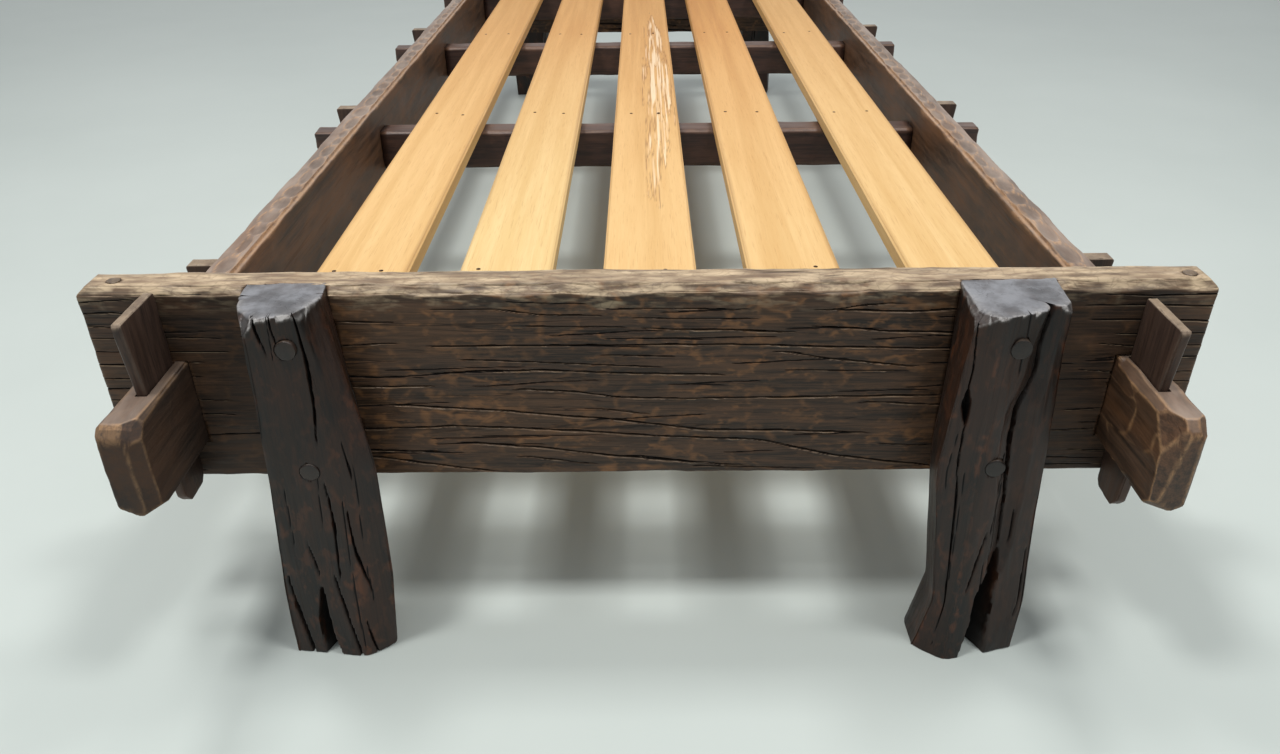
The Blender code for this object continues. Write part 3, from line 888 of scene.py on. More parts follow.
# Each row, in millimetres: height, then corners as (across from the bed's middle, out from the board's face).
LEFT_LEG = (
    (0, (-351, 60), (-278, 68), (-252, 48), (-270, -13.5), (-345, -13.5), (-354, 22)),
    (90, (-350, 58), (-277, 62), (-243, 50), (-268, -13.5), (-345, -13.5), (-353, 22)),
    (218, (-338, 60), (-272, 58), (-243, 47), (-270, -13.5), (-338, -13.5), (-341, 22)),
    (367, (-330, 64), (-287, 50), (-273, 20), (-277, -13.5), (-352, -13.5), (-347, 22)),
)
RIGHT_LEG = (
    (0, (253, 56), (281, 77), (354, 61), (355, -13.5), (274, -13.5), (253, 20)),
    (60, (267, 56), (287, 68), (359, 56), (359, -13.5), (285, -13.5), (267, 20)),
    (130, (259, 58), (287, 64), (354, 52), (356, -13.5), (277, -13.5), (260, 20)),
    (217, (248, 60), (286, 61), (349, 50), (354, -13.5), (267, -13.5), (251, 20)),
    (367, (260, 58), (281, 66), (345, 44), (350, -13.5), (264, -13.5), (260, 20)),
)
# Splits on the front: points with a height, a share of the way across and a half width, then their depth
# and darkness. Lengths are in metres.
LEFT_FISSURES = (
    (((0.372, 0.64, 0.0010), (0.336, 0.65, 0.0014), (0.292, 0.60, 0.0012), (0.248, 0.52, 0.0004)), 0.010, 1),
    (((0.372, 0.16, 0.0011), (0.350, 0.19, 0.0009), (0.334, 0.25, 0.0003)), 0.007, 1),
    (((0.372, 0.36, 0.0008), (0.356, 0.35, 0.0007), (0.342, 0.38, 0.0003)), 0.005, 1),
    (((0.243, 0.75, 0.0003), (0.225, 0.75, 0.0007), (0.206, 0.76, 0.0003)), 0.005, 1),
    (((0.203, 0.50, 0.0004), (0.162, 0.54, 0.0009), (0.095, 0.53, 0.0004)), 0.008, 1),
    (((0.173, 0.67, 0.0004), (0.126, 0.70, 0.0009), (0.077, 0.80, 0.0003)), 0.008, 1),
    (((0.139, 0.27, 0.0003), (0.120, 0.31, 0.0007), (0.099, 0.35, 0.0003)), 0.006, 1),
    (((0.082, 0.35, 0.0010), (0.055, 0.33, 0.0038), (0.025, 0.33, 0.0046),
      (-0.004, 0.36, 0.0056)), 0.020, 0.8),
    (((0.098, 0.48, 0.0004), (0.054, 0.54, 0.0009), (-0.004, 0.62, 0.0011)), 0.008, 1),
    (((0.095, 0.06, 0.0005), (0.048, 0.10, 0.0014), (-0.004, 0.17, 0.0014)), 0.010, 1),
    (((0.045, 0.71, 0.0003), (0.020, 0.75, 0.0007), (-0.004, 0.80, 0.0008)), 0.006, 1),
)
RIGHT_FISSURES = (
    (((0.372, 0.84, 0.0018), (0.349, 0.78, 0.0020), (0.331, 0.77, 0.0018), (0.309, 0.76, 0.0014),
      (0.292, 0.70, 0.0018), (0.275, 0.63, 0.0020), (0.241, 0.62, 0.0020), (0.210, 0.64, 0.0016),
      (0.179, 0.67, 0.0012), (0.126, 0.69, 0.0008)), 0.016, 1),
    # The broad shallow groove round the main fissure is darkened only a little: painted shade in its hollow.
    (((0.380, 0.85, 0.0060), (0.331, 0.77, 0.0090), (0.300, 0.74, 0.0100), (0.275, 0.65, 0.0120),
      (0.230, 0.66, 0.0120), (0.179, 0.69, 0.0100), (0.130, 0.70, 0.0080),
      (0.100, 0.66, 0.0060)), 0.0055, 0.20),
    (((0.118, 0.69, 0.0008), (0.095, 0.65, 0.0042), (0.072, 0.60, 0.0066), (0.030, 0.61, 0.0072),
      (-0.004, 0.61, 0.0092)), 0.034, 0.8),
    (((0.297, 0.10, 0.0005), (0.289, 0.11, 0.0030), (0.277, 0.13, 0.0036), (0.264, 0.15, 0.0006)), 0.013, 1),
    (((0.262, 0.15, 0.0006), (0.183, 0.19, 0.0006), (0.078, 0.18, 0.0007), (0.012, 0.19, 0.0004)), 0.005, 1),
    (((0.142, 0.53, 0.0005), (0.110, 0.48, 0.0009), (0.077, 0.42, 0.0004)), 0.008, 1),
    (((0.165, 0.78, 0.0004), (0.145, 0.78, 0.0008), (0.126, 0.77, 0.0004)), 0.006, 1),
    (((0.118, 0.94, 0.0004), (0.080, 0.94, 0.0009), (0.042, 0.92, 0.0004)), 0.007, 1),
    (((0.361, 0.03, 0.0004), (0.320, 0.10, 0.0006), (0.296, 0.10, 0.0006)), 0.005, 1),
)
# Facets broken off a leg's top: direction (across, outwards, up), then the depth in metres.
LEFT_TOP = (((-0.50, 0.60, 0.62), 0.008), ((-0.85, 0.05, 0.52), 0.003), ((0.70, 0.45, 0.55), 0.002))
RIGHT_TOP = (((-0.60, 0.50, 0.62), 0.006), ((0.60, 0.50, 0.62), 0.003), ((-0.80, 0.00, 0.60), 0.002))
LEG_SPACING, LEG_STEP, LEG_SMOOTHING = 0.0010, 0.004, 8
LEG_FINE = (0.0, 0.0005, 0.001, 0.0016, 0.0024, 0.0034, 0.0046, 0.006, 0.008, 0.010)
TOP_CHIPS, CHIP_DEPTHS = 7, (0.0006, 0.0020)
# Hewing: length and width of a cut, its depth, the roughness and its scales, how far the face lies inside.
LEG_HEWING, LEG_FIBRES = ((0.110, 0.050), 0.0009, 0.0008, (9, 22), 0.0012), 0.00014
LEG_EDGE, LEG_END = (0.008, 0.0014), 0.0014  # width and depth of the worn edges, radius of the ends
# Drying splits: how many, shortest and longest, thinnest and widest, and how much they climb.
LEG_FINE_SPLITS = (7, (0.04, 0.14), (0.0004, 0.0006), 0.003)
LEG_SIDE_SPLITS = (8, (0.08, 0.24), (0.0008, 0.0012), 0.01)
PEG_GROW, FIXED_GROW = 0.00025, 0.0002  # room round a peg, and round a timber that stays in its mortise


def leg_sections(rows, end, stations):
    """The leg's outline at each station. end is -1 at the foot of the bed and 1 at its head."""
    heights = [row[0] / 1000 for row in rows]
    corners = np.array([row[1:] for row in rows]) / 1000
    corners[..., 0] *= -end
    corners[..., 1] = end * (LEG_FACE + corners[..., 1])
    smooth = np.empty((len(stations), *corners.shape[1:]))
    for c in range(corners.shape[1]):
        for axis in (0, 1):
            smooth[:, c, axis] = np.interp(stations, heights, corners[:, c, axis])
    for _ in range(LEG_SMOOTHING):
        smooth[1:-1] = (smooth[:-2] + 2 * smooth[1:-1] + smooth[2:]) / 4
    return smooth


def make_leg(side, end_name, rows, fissures, facets, seed):
    """One leg, its front split by the given fissures and its top broken along the given facets."""
    node = f"{side}_{end_name}_leg"
    end = {"foot": -1, "head": 1}[end_name]
    low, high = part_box(node)
    stations = stations_between(low.z, high.z, LEG_STEP, LEG_FINE)
    rng = np.random.default_rng(seed)

    def carve(s, t, edges):
        height, ridge = hewn_face(s, t, seed, *LEG_HEWING)
        masks = masks_like(s)
        height += LEG_FIBRES * rough(s * 30, t * 320, seed + 2)
        masks["ridge"] = 0.45 + 0.3 * ridge
        for place in edges[:-1]:
            drop, bare = worn_edge(s, t, place, *LEG_EDGE, seed + 11, 0.8)
            height += drop
            mark(masks, "ridge", bare)
        front = edges[2] - edges[0]
        for path, depth, dark in fissures:
            on_front = [(z, edges[0] + x * front, w) for z, x, w in path]
            add_splits(s, t, height, masks, [on_front], depth, dark=dark)
        fine_splits = drying_splits(rng, (low.z, high.z), (edges[0], edges[2]), *LEG_FINE_SPLITS)
        add_splits(s, t, height, masks, fine_splits, 0.0016)
        side_splits = drying_splits(rng, (low.z, high.z), (edges[2], edges[-1]), *LEG_SIDE_SPLITS)
        add_splits(s, t, height, masks, side_splits, 0.005)
        drop, bare = rounded_ends(s, t, low.z, high.z, LEG_END, seed + 5)
        height += drop
        front_half = np.where((t < edges[2] + 0.01) | (t > edges[5]), 1.0, 0.3)
        mark(masks, "wear", 0.5 * bare * front_half * (s > 0.5 * high.z))
        return height, masks

    def hewing(points, masks):
        top = points[:, 2] > high.z - 0.03
        for (across, outward, up), cut in facets:
            hew(points, masks, top, (-end * across, end * outward, up), cut, 0.5, 0.10)
        front = top & (end * points[:, 1] > LEG_FACE + 0.03)
        sides = np.linspace(points[front, 0].min(), points[front, 0].max(), TOP_CHIPS + 1)
        for first, last in zip(sides, sides[1:]):
            here = front & (points[:, 0] >= first) & (points[:, 0] <= last)
            lean = (rng.uniform(-0.25, 0.25), 0.74 * end, 0.62)
            hew(points, masks, here, lean, rng.uniform(*CHIP_DEPTHS), 0.3, 0.95)

    sections = leg_sections(rows, end, stations)
    return loft(
        node + "_wood", "Z", stations, sections, LEG_SPACING, carve, leg_wood, 2, 0.0006, seed, hewing
    )


legs = {
    ("left", "foot"): make_leg("left", "foot", LEFT_LEG, LEFT_FISSURES, LEFT_TOP, 3),
    ("right", "foot"): make_leg("right", "foot", RIGHT_LEG, RIGHT_FISSURES, RIGHT_TOP, 17),
    ("right", "head"): make_leg("right", "head", LEFT_LEG, LEFT_FISSURES, LEFT_TOP, 29),
    ("left", "head"): make_leg("left", "head", RIGHT_LEG, RIGHT_FISSURES, RIGHT_TOP, 41),
}
print("legs:", {piece.name: len(piece.data.polygons) for piece in legs.values()})

# %% [markdown]
# The end boards
#
# A wide plank closes each end. Its face shows rows of shallow adze cuts, long drying splits that drift
# slightly downhill, and short splits that start at the sawn ends. The top edge is rubbed: the stain is
# gone, and the front arris is a wavy cream-coloured bevel. After the carving, the plank gets its two
# mortises, the housings of the legs and the holes of the pegs and pins.

# %% End boards
BOARD_FINE = {"foot": 0.0007, "head": 0.0012}
BOARD_STEP = {"foot": 0.004, "head": 0.008}
BOARD_COARSE, BOARD_TOP_SPACING = 0.0024, 0.0011
# What is cut off the outer top edge, the inner top edge and the lower edges.
TOP_BEVEL, BACK_EASE, LOWER_EASE = 0.007, 0.0015, 0.0025
# How far the hewn plank reaches past its solid before it is carved: faces, edges, left and right end.
FACE_GROW, EDGE_GROW = 0.0005, 0.0014
END_GROW = {"foot": (0.006, -0.001), "head": (0.0, 0.0)}
END_SPLIT_PITCH = 0.0125
BOARD_HEWING, BOARD_FIBRES = ((0.040, 0.030), 0.0008, 0.0004, (14, 55), 0.0006, 0.3), 0.00012
BOARD_EDGE, BOARD_END = (0.005, 0.0007), 0.003
BEVEL_CUTS = (0.0003, 0.0050, 0.070)  # least and most that a knife cut takes off the bevel, and their pitch
HEAD_SPLITS = (26, (0.10, 0.46), (0.0008, 0.0013), -0.03)
BOARD_FINE_SPLITS = (46, (0.03, 0.13), (0.0004, 0.0006), -0.02)
INNER_SPLITS = (14, (0.10, 0.40), (0.0012, 0.0016), 0.02)
# A chip on the foot board's face: across, below the top, length and height.
CHIP = (-0.036, 0.0125, 0.034, 0.0075)
# Painted shade on a board's outer face outside the legs: where, from its middle, and how dark it is there.
PAINTED_SHADE_AT, PAINTED_SHADE = (0.31, 0.36, 0.44, 0.49), (0.0, 0.24, 0.24, 0.06)
# The long splits on the foot board's face, in millimetres: half width, then points across and below the top.
FOOT_SPLITS = (
    (0.6, (-175, 21), (-134, 21), (-94, 27), (-54, 28)), (0.5, (-31, 22), (60, 22)),
    (0.5, (-5, 31), (79, 32)), (0.5, (-108, 38), (-36, 39)), (0.9, (4, 41), (60, 42), (112, 45)),
    (0.9, (-184, 57), (-24, 57), (68, 57), (150, 60), (265, 63)), (0.6, (-32, 67), (10, 69)),
    (0.6, (-160, 71), (-118, 73), (-3, 79)), (0.9, (-186, 85), (-150, 82), (-102, 82), (54, 88)),
    (0.8, (-112, 102), (-72, 105), (-25, 111), (29, 113), (135, 112), (251, 111)),
    (0.8, (-268, 98), (-207, 98)),
    (1.0, (-226, 118), (-122, 126), (-25, 136), (51, 147), (120, 148), (189, 151)),
    (0.6, (-47, 123), (-14, 128)),
    (1.0, (-270, 144), (-183, 141), (-80, 146), (10, 154), (99, 158), (169, 176), (262, 189)),
    (1.0, (-168, 160), (-108, 165), (-31, 176), (41, 184)), (0.9, (-261, 175), (-220, 181), (-143, 194)),
    (0.7, (-114, 176), (-62, 184)), (0.6, (49, 188), (141, 191)), (0.7, (-265, 167), (-199, 170)),
    (0.6, (-272, 56), (-238, 54)), (0.6, (-270, 32), (-238, 33)), (0.6, (155, 24), (182, 20), (205, 18)),
    (0.9, (168, 24), (219, 26), (264, 24)), (0.9, (154, 40), (208, 45), (265, 47)),
    (0.7, (120, 65), (157, 72), (226, 80)), (0.6, (135, 84), (226, 85)), (0.8, (203, 118), (263, 121)),
    (0.6, (224, 164), (261, 166)), (0.7, (-11, 176), (72, 187)),
)


def end_splits(rng, low, high, t_from, t_to):
    """Short splits that start at both ends of a board."""
    found = []
    for end, inward in ((low, 1), (high, -1)):
        for place in np.arange(t_from, t_to, END_SPLIT_PITCH):
            place += rng.uniform(-0.002, 0.002)
            length, width = rng.uniform(0.03, 0.12), rng.uniform(0.0003, 0.0006)
            found.append([
                (end - inward * 0.002, place, width),
                (end + inward * 0.6 * length, place + rng.uniform(-0.002, 0.002), 0.8 * width),
                (end + inward * length, place + rng.uniform(-0.003, 0.003), 0.0003),
            ])
    return found


def foot_splits(face_top):
    """The long splits of the foot board as paths on its face, which starts at face_top round the section."""
    found = []
    for width, *places in FOOT_SPLITS:
        path = [(x / 1000, face_top + below / 1000, 0.75 * width / 1000) for x, below in places]
        (x0, t0, _), (x1, t1, _) = path[0], path[-1]
        found.append([(x0 - 0.012, t0, 0.0002), *path, (x1 + 0.012, t1, 0.0002)])
    return found


def make_board(end_name, seed):
    """One end board, with its outer face towards its own end of the bed."""
    node = f"{end_name}_board"
    low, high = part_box(node)
    left, right = low.x - END_GROW[end_name][0], high.x + END_GROW[end_name][1]
    stations = stations_between(left, right, BOARD_STEP[end_name])
    outer_side, inner_side, bevel_side = {"foot": (6, 2, 5), "head": (2, 6, 3)}[end_name]
    top_edges = (BACK_EASE, TOP_BEVEL) if end_name == "foot" else (TOP_BEVEL, BACK_EASE)
    outline = box_section(
        (low.y - FACE_GROW, high.y + FACE_GROW), (low.z - EDGE_GROW, high.z + EDGE_GROW),
        (LOWER_EASE, *top_edges, LOWER_EASE),
    )
    spacing = np.full(8, BOARD_COARSE)
    spacing[3:6] = BOARD_TOP_SPACING
    spacing[outer_side] = BOARD_FINE[end_name]
    rng = np.random.default_rng(seed)

    def carve(s, t, edges):
        height, ridge = hewn_face(s, t, seed, *BOARD_HEWING)
        masks = masks_like(s)
        height += BOARD_FIBRES * rough(s * 30, t * 420, seed + 2)
        # Outside the legs the warm tool marks drop to less than half. With the darkening further down, this
        # paints shade there.
        masks["ridge"] = (0.6 + 0.4 * ridge) * np.interp(np.abs(s), (0.26, 0.34), (1.0, 0.45))
        top = (t > edges[4]) & (t < edges[5])
        masks["wear"] = np.where(top, np.clip(0.62 + 0.45 * rough(s * 30, t * 180, seed + 3), 0, 1), 0.0)
        outer, inner = (edges[outer_side], edges[outer_side + 1]), (edges[inner_side], edges[inner_side + 1])
        if end_name == "foot":
            long_splits = foot_splits(outer[0] - TOP_BEVEL + EDGE_GROW)
        else:
            long_splits = drying_splits(rng, (left, right), outer, *HEAD_SPLITS)
        add_splits(s, t, height, masks, long_splits, 0.0045, 0.0005, 0.15)
        fine_splits = drying_splits(rng, (left, right), outer, *BOARD_FINE_SPLITS)
        add_splits(s, t, height, masks, fine_splits, 0.0018)
        inner_splits = drying_splits(rng, (left, right), inner, *INNER_SPLITS)
        add_splits(s, t, height, masks, inner_splits, 0.004, 0.0004)
        for face in (outer, inner):
            short_splits = end_splits(rng, left, right, face[0] + 0.006, face[1])
            add_splits(s, t, height, masks, short_splits, 0.003, 0.0004, 0.45)
        for k in (1, 3, 5, 7):
            place = (edges[k] + edges[k + 1]) / 2
            if k == bevel_side:
                drop, bare = cut_edge(s, t, place, place - edges[k], *BEVEL_CUTS, seed)
                mark(masks, "wear", 0.9 * bare)
            else:
                drop, bare = worn_edge(s, t, place, *BOARD_EDGE, seed + 11)
                mark(masks, "wear", 0.8 * bare * (k in (3, 5)))
            height += drop
        drop, bare = rounded_ends(s, t, left, right, BOARD_END, seed + 5)
        height += drop
        mark(masks, "wear", 0.3 * bare)
        on_outer = (t > outer[0]) & (t < outer[1])
        # Painted shade: the outer face is darkened outside the legs, towards the tenons, where shade falls on
        # it.
        mark(masks, "crack_stain_shade", np.interp(np.abs(s), PAINTED_SHADE_AT, PAINTED_SHADE) * on_outer)
        if end_name == "foot":
            x, below, long, tall = CHIP
            away = ((s - x) / long) ** 2 + ((t - edges[6] - below + 0.12 * (s - x)) / tall) ** 2
            chip = np.clip(1.6 * (1 - 4 * away) + 0.5 * rough(s * 120, t * 300, 9), 0, 1)
            height -= 0.0016 * chip
            mark(masks, "wear", 0.6 * chip)
        below = np.where(on_outer, t - outer[0] if end_name == "foot" else outer[1] - t, 1)
        specks = np.clip(2.2 * rough(s * 90, t * 260, seed + 8) - 0.2, 0, 1)
        mark(masks, "wear", 0.40 * np.clip(1 - below / 0.022, 0, 1) * specks)
        mark(masks, "wear", 0.25 * np.clip(1 - below / 0.003, 0, 1))
        return height, masks

    def hewing(points, masks):
        for end in (-1, 1):
            horn = end * points[:, 0] > high.x - 0.03
            hew(points, masks, horn, (0.70 * end, 0, 0.71), 0.0042, 0.5, 0.5)

    sections = all_along(outline, stations)
    piece = loft(node + "_wood", "X", stations, sections, spacing, carve, board_wood, 1, 0.0, seed, hewing)
    cutters = [cutter_like(legs[side, end_name], 0.0) for side in ("left", "right")]
    nodes = frame["nodes"]
    for side in ("left", "right"):
        cutters.append(cutter_like(nodes[f"{side}_rail"], FIXED_GROW))
        for pin in ("upper_peg", "lower_peg", "end_pin"):
            cutters.append(cutter_like(nodes[f"{side}_{end_name}_{pin}"], PEG_GROW))
    cut_joints(piece, cutters)
    return dress(piece, node)


boards = {"foot": make_board("foot", 5), "head": make_board("head", 23)}
print("boards:", {piece.name: len(piece.data.polygons) for piece in boards.values()})

# %% [markdown]
# Pegs and pins
#
# Two long round pegs go through each leg into the board, and a thinner pin goes down into each horn of
# the board, beyond the rail, where it keeps the short grain from splitting. They are whittled, so they
# are round but not turned: we loft a circle with a little unevenness. The legs get their holes now, after
# the boards have used them whole as cutters.

# %% Pegs and pins
PIN_RISE, PIN_SHARE = 0.0006, 0.85  # a pin clears this share of the surface round it
PIN_SPACING, PIN_STEP, PIN_FINE = 0.0024, 0.012, (0.0, 0.0004, 0.0010, 0.0025)
PIN_END = 0.0009


def surface_round(piece, node, a, outer):
    """Where a timber's surface lies round a pin, along axis a at the pin's outer end."""
    low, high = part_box(node)
    b, c = (a + 1) % 3, (a + 2) % 3
    points = points_of(piece)
    away = np.hypot(points[:, b] - (low[b] + high[b]) / 2, points[:, c] - (low[c] + high[c]) / 2)
    radius = (high[b] - low[b]) / 2
    tip = high[a] if outer > 0 else low[a]
    ring = (away > 1.1 * radius) & (away < 1.7 * radius) & (np.abs(points[:, a] - tip) < 0.03)
    return outer * float(np.quantile(outer * points[ring, a], PIN_SHARE))


def make_pin(node, axis, outer, timber, pale):
    """A whittled round pin that ends just proud of the timber's surface. outer is its outer end's sign."""
    low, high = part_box(node)
    a = "XYZ".index(axis)
    b, c = (a + 1) % 3, (a + 2) % 3
    centre = ((low[b] + high[b]) / 2, (low[c] + high[c]) / 2)
    radius = (high[b] - low[b]) / 2
    head = surface_round(timber, node, a, outer) + outer * PIN_RISE
    start, stop = (low[a], head) if outer > 0 else (head, high[a])
    stations = stations_between(start, stop, PIN_STEP, PIN_FINE)
    sections = all_along(round_section(centre, radius), stations)
    seed = len(node) * 7 + int(1000 * abs(low[b]))

    def carve(s, t, edges):
        masks = masks_like(s)
        drop, _ = rounded_ends(s, t, start, stop, PIN_END, seed)
        return drop - 0.0002 + 0.0002 * rough(s * 50, t * 160, seed), masks

    def hewing(points, masks):
        masks["wear"][:] = pale

    piece = loft(
        node + "_wood", axis, stations, sections, PIN_SPACING, carve, peg_wood, 1, 0.0003, seed, hewing
    )
    return dress(piece, node)


for (side, end_name), leg in legs.items():
    pegs = [f"{side}_{end_name}_{peg}" for peg in ("upper_peg", "lower_peg")]
    cut_joints(leg, [cutter_like(frame["nodes"][peg], PEG_GROW) for peg in pegs])
    dress(leg, f"{side}_{end_name}_leg")
    for peg in pegs:
        make_pin(peg, "Y", {"foot": -1, "head": 1}[end_name], leg, 0.0)
    make_pin(f"{side}_{end_name}_end_pin", "Z", 1, boards[end_name], 0.55)

# %% [markdown]
# The side rails
#
# A rail is one long timber with a tenon at each end that stands far out beyond the end board. Its rings
# jump from the full section to the tenon's at the shoulder, which makes the shoulder's face by itself.
# Along the inner top edge runs a row of oval gouge cuts with pale rims. A tenon is stained darker than
# its rail, and its tip is hewn off in facets: two of the four are smooth and two are roughly chopped.

# %% Rails
RAIL_STEP, TENON_STEP = 0.006, 0.0016
RAIL_SPACING = (0.0017, 0.0012, 0.0011, 0.0012, 0.0017, 0.0012, 0.0024, 0.0012)
RAIL_CHAMFER, TENON_CHAMFER = 0.005, 0.0025
GOUGE_PITCH, GOUGE_HALF, GOUGE_DEEP, GOUGE_INSET = 0.048, 0.0090, 0.0017, 0.0080
# How strongly the tool marks stand out on a tenon, how dark its stain is and how pale its facets' edges are.
CALM_TIP, CHOPPED_TIP = (0.10, 0.35, 0.95), (0.45, 0.16, 0.75)
KEY_SLIDE = 0.0004
# A cut's length and width and its depth, on the rail and on a tenon, and how wide a tenon's ridges are.
RAIL_CUT, RAIL_DEEP = (0.110, 0.060), 0.0007
TENON_CUT, TENON_DEEP, TENON_LINE = (0.070, 0.055), 0.0042, 0.070
RAIL_EDGE, TIP_END = (0.006, 0.0016), 0.0015
RAIL_SPLITS = (5, (0.15, 0.50), (0.0014, 0.0018), 0.01)
TIP_GROW = 0.0014  # the hewn tips reach this far past the solid's
SHOULDER_GAP = 0.0003  # a shoulder stops this far short of the timber that it meets
# Facets hewn off a tenon's tip: direction (towards the bed's middle, towards the tip, up), depth, bareness.
LEFT_TIP = (
    # The first facet looks up and is nearly bare: its pale colour is bare wood and partly a painted
    # highlight.
    ((0.00, 0.72, 0.69), 0.0065, 0.90), ((0.70, 0.71, 0.00), 0.0065, 0.00),
    ((-0.70, 0.15, -0.69), 0.0070, 0.05), ((-0.70, 0.70, 0.10), 0.0010, 0.05),
    ((0.00, 0.60, -0.80), 0.0012, 0.05), ((0.72, 0.05, 0.69), 0.0020, 0.10),
    ((0.58, 0.58, 0.58), 0.0065, 0.00), ((0.55, 0.30, -0.78), 0.0045, 0.05),
    ((-0.45, 0.25, -0.86), 0.0030, 0.05),
)
RIGHT_TIP = (
    ((0.05, 0.70, 0.71), 0.0070, 0.10), ((0.60, 0.79, 0.10), 0.0090, 0.00),
    ((-0.55, 0.60, 0.58), 0.0050, 0.15), ((0.55, 0.20, 0.81), 0.0050, 0.05),
    ((0.85, 0.40, 0.34), 0.0070, 0.00), ((0.45, 0.60, -0.66), 0.0060, 0.05),
    ((-0.72, 0.69, 0.00), 0.0025, 0.05), ((-0.40, 0.40, -0.82), 0.0030, 0.10),
    ((0.72, 0.00, 0.69), 0.0040, 0.05),
)


def gouge_row(s, t, middle, half, pitch, seed):
    """A row of oval gouge cuts: how hollow each point is, and the pale outlines of the cuts."""
    uneven = s + 0.35 * pitch * noise(s / (1.7 * pitch), 0.9, seed + 21)
    hollow, size = knife_cuts(uneven, pitch, seed)
    wander = 0.0022 * noise(s * 11, 0.2, seed)
    across = np.abs(t - middle - wander) / (half * (0.55 + 0.75 * size))
    inside = hollow - across**2
    return np.clip(1.8 * inside, 0, 1), np.clip(1 - np.abs(inside) / 0.17, 0, 1)


def rail_stations(low, high, shoulder):
    """Places along a rail: close together on the tenons, with two rings on each shoulder."""
    tip = np.array([0.0, 0.001])
    tenon = np.linspace(0.0025, high - shoulder, round((high - shoulder) / TENON_STEP))
    body = np.linspace(-shoulder, shoulder, round(2 * shoulder / RAIL_STEP))
    reach = np.concatenate([tip, tenon])
    return np.concatenate([low + reach, body, high - reach[::-1]]), len(reach)


def make_rail(side, tips, marks, seed):
    """One side rail with its two tenons. tips holds the facets of its foot tenon and of its head tenon, and
    marks holds the strength of the tool marks, of the stain and of the pale edges on each."""
    node = f"{side}_rail"
    low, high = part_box(node)
    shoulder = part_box("head_board")[0].y - SHOULDER_GAP
    points = points_of(frame["nodes"][node])
    tenon = points[np.abs(points[:, 1]) > LEG_FACE + 0.03]
    tenon_z, tenon_x = (tenon[:, 2].min(), tenon[:, 2].max()), (tenon[:, 0].min(), tenon[:, 0].max())
    tenon_z = (tenon_z[0] - TIP_GROW, tenon_z[1])
    tenon_x = (tenon_x[0] - TIP_GROW, tenon_x[1]) if side == "left" else (tenon_x[0], tenon_x[1] + TIP_GROW)
    tip_low, tip_high = low.y - 2 * TIP_GROW, high.y + 2 * TIP_GROW
    stations, tenon_count = rail_stations(tip_low, tip_high, shoulder)
    full = box_section((low.z, high.z), (low.x, high.x), RAIL_CHAMFER)
    sections = all_along(full, stations)
    sections[:tenon_count] = box_section(tenon_z, tenon_x, TENON_CHAMFER)
    sections[-tenon_count:] = sections[0]
    towards_middle = {"left": 1, "right": -1}[side]
    rng = np.random.default_rng(seed)

    def carve(s, t, edges):
        masks = masks_like(s)
        on_tenon = np.abs(s) > shoulder - 1e-5
        cuts, _ = adze_cuts(s, t, *RAIL_CUT, seed)
        facets, lines = adze_cuts(s, t, *TENON_CUT, seed + 3, TENON_LINE)
        strong, stain, _ = (np.where(s < 0, *pair) for pair in zip(*marks))
        broken = np.clip(0.45 + 1.3 * rough(s * 55, t * 55, seed + 9), 0, 1)
        stain = np.where((t > edges[2]) & (t < edges[3]), 0.6 * stain, stain)
        height = np.where(on_tenon, -TENON_DEEP * strong * (1 - facets), -RAIL_DEEP * (1 - cuts))
        height += 0.0003 * rough(s * 8, t * 40, seed) - 0.0004
        masks["ridge"] = np.where(on_tenon, 0.12 + strong * lines, 0.25)
        masks["wear"] = np.where(on_tenon, 1.1 * strong * lines * broken, 0.0)
        masks["crack_stain_shade"] = np.where(on_tenon, stain, 0.0)
        row = edges[3] - GOUGE_INSET if side == "left" else edges[2] + GOUGE_INSET
        hollow, rim = gouge_row(s, t, row, GOUGE_HALF, GOUGE_PITCH, seed)
        height -= np.where(on_tenon, 0, GOUGE_DEEP * hollow)
        mark(masks, "wear", np.where(on_tenon, 0, 0.95 * rim))
        # Painted shade: the gouge hollows are darkened a little, as shade falls in them.
        mark(masks, "crack_stain_shade", np.where(on_tenon, 0, 0.2 * hollow))
        corners = [(edges[k] + edges[k + 1]) / 2 for k in (1, 3, 5, 7)]
        inner_top = corners[1] if side == "left" else corners[0]
        for place in corners:
            drop, bare = worn_edge(s, t, place, *RAIL_EDGE, seed + 11)
            height += np.where(on_tenon, 0.4 * drop, drop)
            rubbed = np.where(on_tenon, 0.8 * broken, 0.6 if place == inner_top else 0.25)
            mark(masks, "wear", rubbed * bare)
        outer_face = (edges[0], edges[1]) if side == "left" else (edges[4], edges[5])
        splits = drying_splits(rng, (-shoulder, shoulder), outer_face, *RAIL_SPLITS)
        add_splits(s, t, height, masks, splits, 0.003)
        drop, _ = rounded_ends(s, t, tip_low, tip_high, TIP_END, seed + 5)
        return height + drop, masks

    def hewing(points, masks):
        for end, facets, (_, stain, pale) in zip((-1, 1), tips, marks):
            tip = end * points[:, 1] > LEG_FACE + 0.002
            cap = end * points[:, 1] > tip_high - 0.003
            masks["crack_stain_shade"][cap] = np.maximum(masks["crack_stain_shade"][cap], stain)
            for (inward, out, up), cut, bare in facets:
                hew(points, masks, tip, (towards_middle * inward, end * out, up), cut, pale, bare, 0.0014)

    piece = loft(
        node + "_wood", "Y", stations, sections, RAIL_SPACING, carve, rail_wood, 1, 0.0, seed, hewing
    )
    nodes = frame["nodes"]
    cutters = [cutter_like(nodes[f"bearer_{n}"], FIXED_GROW) for n in range(1, 5)]
    for end_name in ("foot", "head"):
        cutters.append(cutter_like(nodes[f"{side}_{end_name}_rail_key"], KEY_SLIDE))
    cut_joints(piece, cutters)
    return dress(piece, node)


